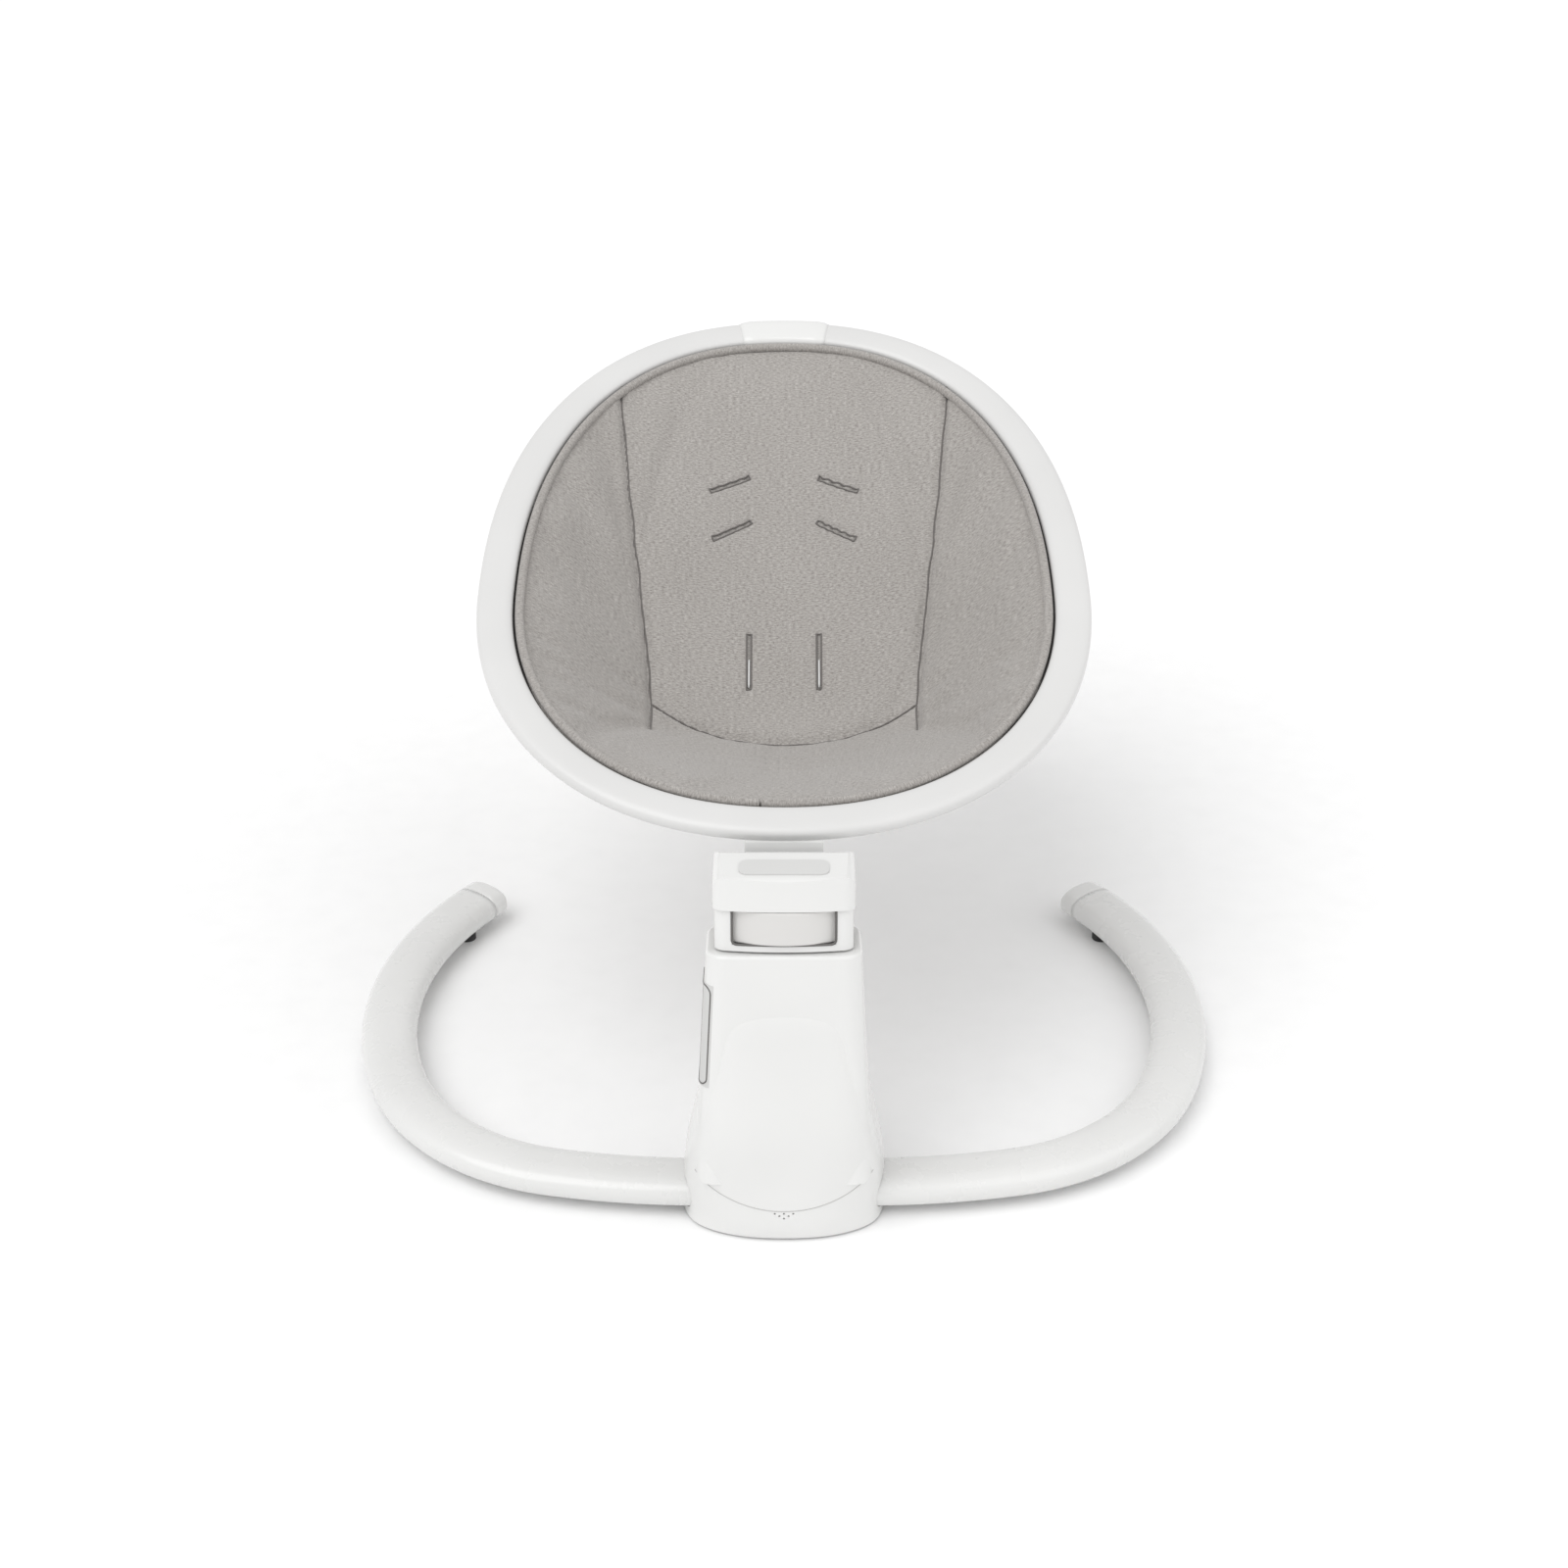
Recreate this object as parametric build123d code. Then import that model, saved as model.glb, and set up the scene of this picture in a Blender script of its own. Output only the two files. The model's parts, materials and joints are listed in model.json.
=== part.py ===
from build123d import *
import os
from math import cos, radians, sin

os.makedirs("parts", exist_ok=True)

# Compact baby swing. The origin is on the floor under the middle of the foot. +X is to the
# sitting baby's left, +Y points to the back and +Z is up. Millimetres.

# ---- Driving dimensions: seat hoop ----
HOOP_RECLINE = 15.0          # the hoop's plane rises to the back by this angle
HOOP_Y = 300.5               # the hoop's widest line, in Y and Z
HOOP_Z = 332.0
HOOP_HALF_WIDTH = 229.5
HOOP_BACK = 341.0            # from the widest line to the hoop's back end, in its plane
HOOP_FRONT = 255.0
HOOP_POWER_BACK = 2.28       # exponents of the two half superellipses
HOOP_POWER_FRONT = 2.19
HOOP_TUBE_WIDTH = 27.0
HOOP_TUBE_HEIGHT = 13.0
HOOP_TUBE_WALL = 1.5
TUBE_GAP_ANGLE = 0.2         # between the tube's two ends, which meet under the sleeve
SLEEVE_HALF_ANGLE = 6.3
SLEEVE_WALL = 1.6
SLEEVE_SCREW_X = 24.0
SLEEVE_SCREW_RADIUS = 1.6

# ---- Seat fabric ----
FABRIC_GAP = 0.6
FABRIC_THICKNESS = 8.0
FABRIC_PROUD = 3.0
BUCKET_DEPTH = 132.0

# ---- Column, foot and head. The column leans back, and the seat sways about its axis ----
LEAN = 12.0
AXIS_Y = -22.8               # where the axis meets the floor plane
FOOT_HALF_WIDTH = 71.5
FOOT_HALF_DEPTH = 50.0
PAD_HEIGHT = 2.0
WALL = 2.6
COLUMN_LOW = 40.0            # heights along the axis
COLUMN_TOP = 209.5
COLUMN_HALF_WIDTH_LOW = 61.9
COLUMN_HALF_WIDTH_TOP = 53.2
COLUMN_HALF_DEPTH = 32.0
COLUMN_CORNER = 15.0
SEAM_HEIGHT = 28.0           # the foot's seam is a smile: lowest at the centre
SEAM_RADIUS = 100.0
HEAD_BOTTOM = 211.0
HEAD_HALF_WIDTH = 47.3
HEAD_BACK = 27.0
HEAD_FRONT = 27.5
HEAD_FRONT_SAG = 5.0
HEAD_CORNER = 9.0
CAP_LOW = 240.5
CAP_LIP = 2.2
CAP_CORNER = 11.0
HEAD_TOP_Z = 264.0
HEAD_CREST_Y = 42.0

# ---- Recline pivot, button and latch (along the leaning axis: y back, h up) ----
PIVOT_Y = 10.4
PIVOT_H = 243.5
PIN_RADIUS = 4.0
NECK_HALF_WIDTH = 27.0
NECK_HUB_RADIUS = 11.0
NECK_SCREW_X = 16.0
SECTOR_RADIUS = 17.0
SECTOR_INNER_X = 15.0
SECTOR_OUTER_X = 23.0
BUTTON_HALF_WIDTH = 34.6
BUTTON_LOW = 216.4
BUTTON_HIGH = 240.0
BUTTON_GAP = 0.7
BUTTON_BACK = -17.0
LATCH_LOW = 220.3
LATCH_THICK = 3.0

# ---- Swing drive ----
SHAFT_RADIUS = 7.0
SHAFT_CLEARANCE = 0.05
SHAFT_LOW = 84.0
SHAFT_TOP = 229.0
LOWER_BEARING_H = 112.0
UPPER_BEARING_H = 196.0
ARM_H = 88.0

# ---- Floor legs: flat-oval tube bent in three tangent arcs ----
LEG_WIDTH = 42.0
LEG_HEIGHT = 23.0
LEG_WALL = 1.8
LEG_Z = 17.5
LEG_START_X = 58.0
LEG_START_Y = -6.2
LEG_BENDS = ((521.0, 12.0), (165.8, 56.5), (265.6, 57.6))
LEG_CAP_BEND = (265.6, 2.4)
LEG_TIP_DOME = 6.0
REAR_FOOT_RADIUS = 7.0

# ---- Foot: speaker, plate, pads and screws ----
SPEAKER_HOLES = ((25.4, (-6.4, 0.0, 6.4)), (23.4, (-3.2, 3.2)), (21.4, (0.0,)))
SPEAKER_HOLE_RADIUS = 0.8
SPEAKER_Y = -46.0
SPEAKER_Z = 24.0
PLATE_THICK = 3.0
BOSS_TOP = 24.0
BOSS_RADIUS = 7.0
PLATE_SCREWS = ((57.0, 25.0), (38.0, -34.5))
PAD_PLACES = ((0.0, 0.0), (46.0, -18.0), (40.0, 32.0), (-46.0, -18.0), (-40.0, 32.0))
PAD_RADIUS = 8.0
SCREW_RADIUS = 2.0
SCREW_HEAD_RADIUS = 3.8
SCREW_HEAD_THICK = 1.6
LEG_SCREW_X = 63.0
REAR_FOOT_X = 260.5
REAR_FOOT_Y = 336.0

# ---- Column: deck, rear screws, bearings, electronics, inlet and label ----
DECK_THICK = 3.0
DECK_HOLE_RADIUS = 15.0
REAR_SCREWS = ((-28.0, 199.0), (28.0, 199.0), (-28.0, 115.0), (28.0, 115.0))
BUSH_RADIUS = 11.0
BEARING_PLATE = 6.0
CROSS_PIN_H = 222.0
CROSS_PIN_RADIUS = 2.0
BOSS_OUTER = 12.0
BOSS_H = 230.5
MAGNET_Y = 17.0
COIL_MOUNT_H = 58.0
ENCODER_H = 140.0
BOARD_Y = 22.0
BOARD_THICK = 1.6
BOARD_LOW = 130.0
BOARD_HIGH = 185.0
BOARD_POST_X = 22.0
BOARD_POST_HEIGHTS = (135.0, 180.0)
POWER_H = 165.0
POWER_RADIUS = 9.0
POWER_GAP = 0.4
POWER_FLANGE_Y = 27.7
SWITCH_Y = 26.0
JACK_Z = 40.0
JACK_Y = 47.0
JACK_RADIUS = 5.5
LABEL_FRONT = -29.5
LABEL_BACK = 14.0
LABEL_LOW = 112.0
LABEL_HIGH = 187.0

# ---- Head: floor, chassis, cap and badge ----
HEAD_FLOOR = 2.5
CHASSIS_PLATE = 2.0
CAP_FRONT_Y = -8.0
CAP_VIEW_FRONT = -40.0       # the cap's side view, in upright axes
CAP_VIEW_BACK = 68.0
CAP_VIEW_LOW = 235.0
CAP_VIEW_FLOOR = 200.0
BADGE_Y = 20.0
BADGE_SLOPE = 2.2
LATCH_SPRING_X = 19.0
LATCH_SPRING_Y = -5.0
RECLINE_STEP = 6.0
SPRING_RADIUS = 2.8
SPRING_WIRE_RADIUS = 0.35
SPRING_TURNS = 5

# Height below the hoop plane, half width, front, back and widest line of the bucket's ovals.
BUCKET_SECTIONS = (
    (-45.0, 171.0, -176.0, 215.0, -10.0),
    (-85.0, 138.0, -122.0, 113.0, -20.0),
    (-115.0, 112.0, -82.0, 34.0, -30.0),
    (-BUCKET_DEPTH, 84.0, -60.0, -10.0, -35.0),
)
# How far the inside lies inwards of the outside, at the sides, the front and the back.
BUCKET_INSETS = (10.0, 13.0, 20.0)
BUCKET_POWER = 2.5

AXIS = Plane(origin=(0, AXIS_Y, 0), x_dir=(1, 0, 0), z_dir=(0, sin(radians(LEAN)), cos(radians(LEAN))))
HOOP = Plane(
    origin=(0, HOOP_Y, HOOP_Z),
    x_dir=(1, 0, 0),
    z_dir=(0, -sin(radians(HOOP_RECLINE)), cos(radians(HOOP_RECLINE))),
)


def save(name, *solids):
    """Write one named node: one solid, or a group of separate solids."""
    shape = solids[0] if len(solids) == 1 else Compound(children=list(solids))
    export_step(shape, f"parts/{name}.step")


def block(x0, x1, y0, y1, z0, z1):
    return Pos((x0 + x1) / 2, (y0 + y1) / 2, (z0 + z1) / 2) * Box(x1 - x0, y1 - y0, z1 - z0)


def rod(x, y, z0, z1, radius):
    return Pos(x, y, (z0 + z1) / 2) * Cylinder(radius, z1 - z0)


def rod_x(x0, x1, y, z, radius):
    return Pos((x0 + x1) / 2, y, z) * Rot(0, 90, 0) * Cylinder(radius, x1 - x0)


def rod_y(x, y0, y1, z, radius):
    return Pos(x, (y0 + y1) / 2, z) * Rot(90, 0, 0) * Cylinder(radius, y1 - y0)


def both_sides(shape):
    return [shape, mirror(shape, about=Plane.YZ)]


def lean(shape):
    """Place a shape that was drawn along the leaning column axis."""
    return AXIS.location * shape


def oval_points(half_width, back, front, power_back, power_front, start=0.0, sweep_angle=360.0, count=20):
    """Points of an oval made of two half superellipses that share one width."""
    points = []
    closed = sweep_angle >= 360.0
    for i in range(count if closed else count + 1):
        angle = radians(start + sweep_angle * i / count)
        across, along = cos(angle), sin(angle)
        length = back if along > 0 else front
        power = power_back if along > 0 else power_front
        radius = ((abs(across) / half_width) ** power + (abs(along) / length) ** power) ** (-1 / power)
        points.append((radius * across, radius * along))
    return points


def oval_face(half_width, y_front, y_back, y_wide, power_front, power_back, z):
    points = oval_points(half_width, y_back - y_wide, y_wide - y_front, power_back, power_front)
    edge = Spline(*[(x, y + y_wide, z) for x, y in points], periodic=True)
    return make_face(edge)


def hoop_oval(inset, z):
    """The hoop's outline, moved inwards, in the hoop's own plane."""
    return oval_face(
        HOOP_HALF_WIDTH - inset,
        -(HOOP_FRONT - inset),
        HOOP_BACK - inset,
        0,
        HOOP_POWER_FRONT,
        HOOP_POWER_BACK,
        z,
    )


# ---- Foot and column ----

# Height, half width, front, back and widest line of the foot's horizontal sections, and the
# squareness of its front half.
DOME_SECTIONS = (
    (PAD_HEIGHT, FOOT_HALF_WIDTH, -FOOT_HALF_DEPTH, FOOT_HALF_DEPTH, -8.0, 2.3),
    (28.0, 70.8, -52.0, 49.0, -6.0, 2.3),
    (60.0, 67.0, -50.0, 42.0, -3.0, 3.1),
    (90.0, 60.8, -46.0, 34.0, -1.0, 3.5),
    (120.0, 56.5, -37.5, 31.0, 2.0, 3.4),
    (150.0, 54.0, -28.0, 30.0, 8.0, 3.3),
    (172.0, 52.0, -17.0, 30.0, 14.0, 3.0),
)
DOME_BACK_POWER = 3.0


def dome(inset):
    faces = [
        oval_face(half - inset, front + inset, back - inset, wide, power, DOME_BACK_POWER, z)
        for z, half, front, back, wide, power in DOME_SECTIONS
    ]
    return loft(faces)


def column_tube(inset, low=COLUMN_LOW, top=COLUMN_TOP):
    """The upright's tapered rounded-rectangle tube along the leaning axis."""
    faces = []
    for h in (low, top):
        share = (h - COLUMN_LOW) / (COLUMN_TOP - COLUMN_LOW)
        half = COLUMN_HALF_WIDTH_LOW + share * (COLUMN_HALF_WIDTH_TOP - COLUMN_HALF_WIDTH_LOW)
        depth = 2 * (COLUMN_HALF_DEPTH - inset)
        outline = RectangleRounded(2 * (half - inset), depth, COLUMN_CORNER - inset)
        faces.append(Pos(0, 0, h) * outline)
    return lean(loft(faces))


def rounded_column():
    tube = column_tube(0)
    rim = tube.faces().sort_by(Axis(AXIS.origin, AXIS.z_dir))[-1].edges()
    return fillet(rim, 2.5)


def below_seam(height):
    """Everything under the smile-shaped seam, up to a given height."""
    slab = block(-90, 90, -90, 90, -10, height)
    smile = rod_y(0, -95, 95, SEAM_HEIGHT + SEAM_RADIUS, SEAM_RADIUS)
    return slab - smile


def largest(shape):
    return shape.solids().sort_by(SortBy.VOLUME)[-1]


# ---- Floor legs ----


def leg_path(bends, start, direction):
    """A chain of tangent arcs, each (radius, degrees), bending to the left."""
    arcs = []
    point, tangent = start, direction
    for radius, angle in bends:
        arc = JernArc(start=point, tangent=tangent, radius=radius, arc_size=angle)
        arcs.append(arc)
        point, tangent = arc @ 1, arc % 1
    return Wire(arcs), point, tangent


def leg_section(point, tangent, inset):
    plane = Plane(origin=point, x_dir=Vector(tangent).cross(Vector(0, 0, 1)), z_dir=tangent)
    return plane.location * SlotOverall(LEG_WIDTH - 2 * inset, LEG_HEIGHT - 2 * inset)


def make_legs():
    """Leg tubes and their end caps. Returns the solid right leg, for cutting its socket."""
    start = Vector(LEG_START_X, LEG_START_Y, LEG_Z)
    wire, end, heading = leg_path(LEG_BENDS, start, Vector(1, 0, 0))
    outer = sweep(leg_section(start, Vector(1, 0, 0), 0), path=wire)
    tube = outer - sweep(leg_section(start, Vector(1, 0, 0), LEG_WALL), path=wire)
    tube -= rod(LEG_SCREW_X, LEG_START_Y, 0, LEG_Z, SCREW_RADIUS)
    cap_wire, tip, tip_heading = leg_path((LEG_CAP_BEND,), end, heading)
    cap = sweep(leg_section(end, heading, 0), path=cap_wire)
    dome_face = leg_section(tip + tip_heading * LEG_TIP_DOME, tip_heading, 0.7 * LEG_TIP_DOME)
    cap += loft([leg_section(tip, tip_heading, 0), dome_face])
    cap += extrude(leg_section(end, heading, LEG_WALL + 0.3), -8)
    for side, leg, plug in zip(("right", "left"), both_sides(tube), both_sides(cap)):
        save(f"leg_tube_{side}", leg)
        save(f"leg_end_cap_{side}", plug)
    rear_foot = rod(REAR_FOOT_X, REAR_FOOT_Y, 0, LEG_Z - LEG_HEIGHT / 2, REAR_FOOT_RADIUS)
    save("rear_feet", *both_sides(rear_foot))
    return outer


# ---- Foot ----


def make_foot(leg, shell):
    pan = shell & below_seam(70)
    plate = extrude(foot_outline(WALL + 0.8, PAD_HEIGHT), PLATE_THICK)
    plate_top = PAD_HEIGHT + PLATE_THICK
    screws = []
    inside = dome(0.5)
    for x, y in PLATE_SCREWS:
        boss = rod(x, y, plate_top, BOSS_TOP, BOSS_RADIUS) & inside
        for side, post in zip((1, -1), both_sides(boss)):
            hole = rod(side * x, y, 0, BOSS_TOP - 4, SCREW_RADIUS)
            pan = pan + post - hole
            plate -= hole
            screws.append(screw_up(side * x, y, PAD_HEIGHT, BOSS_TOP - 4))
    for side in (-1, 1):
        plate -= rod(side * LEG_SCREW_X, LEG_START_Y, 0, LEG_Z, SCREW_RADIUS)
        screws.append(screw_up(side * LEG_SCREW_X, LEG_START_Y, PAD_HEIGHT, LEG_Z - LEG_HEIGHT / 2 + 4))
    for screw in screws:
        plate -= screw
    for part in both_sides(leg):
        pan -= part
    for z, xs in SPEAKER_HOLES:
        for x in xs:
            pan -= rod_y(x, -60, -40, z, SPEAKER_HOLE_RADIUS)
    save("foot_pan", largest(pan))
    save("foot_plate", plate)
    save("foot_screws", *screws)
    save("foot_pads", *[rod(x, y, 0, PAD_HEIGHT, PAD_RADIUS) for x, y in PAD_PLACES])
    cone = rod_y(0, SPEAKER_Y, SPEAKER_Y + 8, SPEAKER_Z, 12)
    magnet = rod_y(0, SPEAKER_Y + 8, SPEAKER_Y + 13, SPEAKER_Z, 7)
    save("speaker", cone + magnet)


def foot_outline(inset, z):
    return oval_face(
        FOOT_HALF_WIDTH - inset,
        -FOOT_HALF_DEPTH + inset,
        FOOT_HALF_DEPTH - inset,
        -8.0,
        2.3,
        DOME_BACK_POWER,
        z,
    )


def screw_up(x, y, z0, z1):
    """A screw driven upwards, with a flat head that is sunk flush."""
    return rod(x, y, z0, z0 + SCREW_HEAD_THICK, SCREW_HEAD_RADIUS) + rod(x, y, z0, z1, SCREW_RADIUS)


# ---- Column ----


def make_column():
    front_half = lean(block(-90, 90, -200, 0, -50, 400))
    rear_half = lean(block(-90, 90, 0, 200, -50, 400))
    above = block(-90, 90, -90, 110, 3, 260) - below_seam(70)
    skin = rounded_column() + dome(0)
    skin = skin - dome(WALL) - column_tube(WALL, COLUMN_LOW - 1, COLUMN_TOP - DECK_THICK)
    skin -= lean(rod(0, 0, COLUMN_TOP - 10, COLUMN_TOP + 5, DECK_HOLE_RADIUS))
    skin = skin & above
    save("column_front_shell", largest(skin & front_half))

    rear = largest(skin & rear_half)
    board_back = BOARD_Y + BOARD_THICK
    inner_back = COLUMN_HALF_DEPTH - WALL
    for x in (-BOARD_POST_X, BOARD_POST_X):
        for h in BOARD_POST_HEIGHTS:
            rear += lean(rod_y(x, board_back, inner_back + 0.5, h, 2.5))
    screws = []
    for x, h in REAR_SCREWS:
        rear -= lean(rod_y(x, 20, 60, h, SCREW_RADIUS))
        shank = rod_y(x, inner_back - 10, COLUMN_HALF_DEPTH, h, SCREW_RADIUS)
        head = rod_y(x, COLUMN_HALF_DEPTH, COLUMN_HALF_DEPTH + 1.5, h, SCREW_HEAD_RADIUS)
        screws.append(lean(shank + head))
    rear -= rod_y(0, 20, 80, JACK_Z, JACK_RADIUS)
    rear -= lean(rod_y(0, 20, 60, POWER_H, POWER_RADIUS + POWER_GAP))
    save("column_rear_shell", largest(rear))
    save("rear_screws", *screws)

    jack = rod_y(0, JACK_Y - 14, JACK_Y, JACK_Z, JACK_RADIUS)
    save("dc_jack", jack - rod_y(0, JACK_Y - 10, JACK_Y + 1, JACK_Z, 2.9))
    power_back = COLUMN_HALF_DEPTH + 1.0
    power = rod_y(0, POWER_FLANGE_Y, power_back, POWER_H, POWER_RADIUS)
    power += rod_y(0, POWER_FLANGE_Y, POWER_FLANGE_Y + 1.4, POWER_H, POWER_RADIUS + 1.6)
    save("power_button", lean(power))
    label = column_tube(-0.3) - column_tube(0)
    place = lean(block(-80, -30, LABEL_FRONT, LABEL_BACK, LABEL_LOW, LABEL_HIGH))
    save("blank_label", largest(label & place))


# ---- Swing drive, inside the column ----


def bush(h, plate_thick, flange_above):
    plate_top = h + plate_thick
    body = rod(0, 0, h, plate_top, BUSH_RADIUS)
    body += rod(0, 0, plate_top, plate_top + flange_above, BUSH_RADIUS + 3)
    return lean(body - rod(0, 0, h - 1, h + 20, SHAFT_RADIUS + SHAFT_CLEARANCE))


def make_drive():
    inner_back = COLUMN_HALF_DEPTH - WALL
    frame = block(-36, 36, -18, inner_back, UPPER_BEARING_H, UPPER_BEARING_H + BEARING_PLATE)
    frame += block(-36, 36, -18, inner_back, LOWER_BEARING_H, LOWER_BEARING_H + BEARING_PLATE)
    for x0, x1 in ((-36, -33), (33, 36)):
        frame += block(x0, x1, -18, 14, LOWER_BEARING_H, UPPER_BEARING_H + BEARING_PLATE)
    frame -= rod(0, 0, 100, 210, BUSH_RADIUS)
    for x, h in REAR_SCREWS:
        frame -= rod_y(x, inner_back - 10, 40, h, SCREW_RADIUS)
    save("bearing_frame", lean(frame))
    save("upper_bearing", bush(UPPER_BEARING_H, BEARING_PLATE, 2.0))
    save("lower_bearing", bush(LOWER_BEARING_H, BEARING_PLATE, 2.0))

    shaft = rod(0, 0, SHAFT_LOW, SHAFT_TOP, SHAFT_RADIUS)
    collar_low = UPPER_BEARING_H + BEARING_PLATE + 2.1
    shaft += rod(0, 0, collar_low, collar_low + 3.0, SHAFT_RADIUS + 4)
    shaft -= rod_x(-20, 20, 0, CROSS_PIN_H, CROSS_PIN_RADIUS)
    save("swing_shaft", lean(shaft))
    save("shaft_cross_pin", lean(rod_x(-BOSS_OUTER, BOSS_OUTER, 0, CROSS_PIN_H, CROSS_PIN_RADIUS)))
    clip = rod(0, 0, LOWER_BEARING_H - 1.8, LOWER_BEARING_H - 0.4, SHAFT_RADIUS + 3)
    save("shaft_clip", lean(clip - rod(0, 0, 90, 130, SHAFT_RADIUS)))

    arm = rod(0, 0, ARM_H, ARM_H + 8, 12) + block(-16, 16, 0, 25, ARM_H, ARM_H + 4)
    save("magnet_arm", lean(arm - rod(0, 0, 80, 100, SHAFT_RADIUS)))
    magnets = [lean(rod(x, MAGNET_Y, ARM_H - 5, ARM_H, 6.5)) for x in (-9, 9)]
    save("drive_magnets", *magnets)
    winding = rod(0, MAGNET_Y, 64, 79, 12) - rod(0, MAGNET_Y, 60, 90, 4.5)
    save("drive_coil", lean(winding))
    save("coil_core", lean(rod(0, MAGNET_Y, COIL_MOUNT_H + 3, 80.5, 4.5)))
    save("coil_mount", lean(block(-20, 20, 4, inner_back, COIL_MOUNT_H, COIL_MOUNT_H + 3)))

    disc = rod(0, 0, ENCODER_H, ENCODER_H + 1.2, 20) + rod(0, 0, ENCODER_H - 3, ENCODER_H + 3, 10)
    save("encoder_disc", lean(disc - rod(0, 0, 100, 200, SHAFT_RADIUS)))
    sensor = block(-5, 5, 13, BOARD_Y, ENCODER_H - 4, ENCODER_H + 5)
    sensor -= block(-6, 6, 12, 20.8, ENCODER_H - 0.9, ENCODER_H + 2.1)
    save("swing_sensor", lean(sensor))
    board = block(-26, 26, BOARD_Y, BOARD_Y + BOARD_THICK, BOARD_LOW, BOARD_HIGH)
    switch = block(-3.5, 3.5, BOARD_Y + BOARD_THICK, SWITCH_Y, POWER_H - 3.5, POWER_H + 3.5)
    save("control_board", lean(board))
    save("power_switch", lean(switch))


# ---- Head ----


def head_plan(inset, lip=0.0):
    """Plan of the head: flat sides and back, and a front that bows forwards."""
    half = HEAD_HALF_WIDTH - inset + lip / 2
    back = HEAD_BACK - inset
    middle = -(HEAD_FRONT - inset + lip)
    side = middle + HEAD_FRONT_SAG
    outline = [
        ThreePointArc((-half, side), (0, middle), (half, side)),
        Polyline((half, side), (half, back), (-half, back), (-half, side)),
    ]
    face = make_face(outline)
    return fillet(face.vertices(), HEAD_CORNER - inset)


def head_prism(inset, low, high, lip=0.0):
    return extrude(Pos(0, 0, low) * head_plan(inset, lip), high - low)


def cap_profile(inset):
    """Side view of the cap's top, extruded across the head, in upright axes."""
    top = HEAD_TOP_Z - inset
    outline = Polyline(
        (CAP_VIEW_FRONT, CAP_VIEW_FLOOR),
        (CAP_VIEW_FRONT, CAP_VIEW_LOW),
        (CAP_FRONT_Y + inset, CAP_VIEW_LOW),
        (CAP_FRONT_Y + 9 + inset, top),
        (HEAD_CREST_Y, top - 1.5),
        (CAP_VIEW_BACK, top - 19),
        (CAP_VIEW_BACK, CAP_VIEW_FLOOR),
        close=True,
    )
    face = make_face(outline)
    corners = [v for v in face.vertices() if v.Y > top - 2 - 1e-6 and v.X < HEAD_CREST_Y + 1]
    face = fillet(corners, 8)
    upright = Plane(origin=(0, 0, 0), x_dir=(0, 1, 0), z_dir=(1, 0, 0))
    return extrude(upright.location * face, 60, both=True)


def cap_front_view(inset):
    """Front view of the cap with rounded top corners, extruded front to back."""
    half = HEAD_HALF_WIDTH - inset + CAP_LIP / 2
    height = HEAD_TOP_Z - inset - CAP_VIEW_FLOOR + 0.5
    outline = Pos(0, CAP_VIEW_FLOOR) * Rectangle(2 * half, 2 * height)
    top_corners = outline.vertices().sort_by(Axis.Y)[-2:]
    face = fillet(top_corners, CAP_CORNER - inset)
    upright = Plane(origin=(0, 0, 0), x_dir=(1, 0, 0), z_dir=(0, -1, 0))
    return extrude(upright.location * face, 120, both=True)


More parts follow.
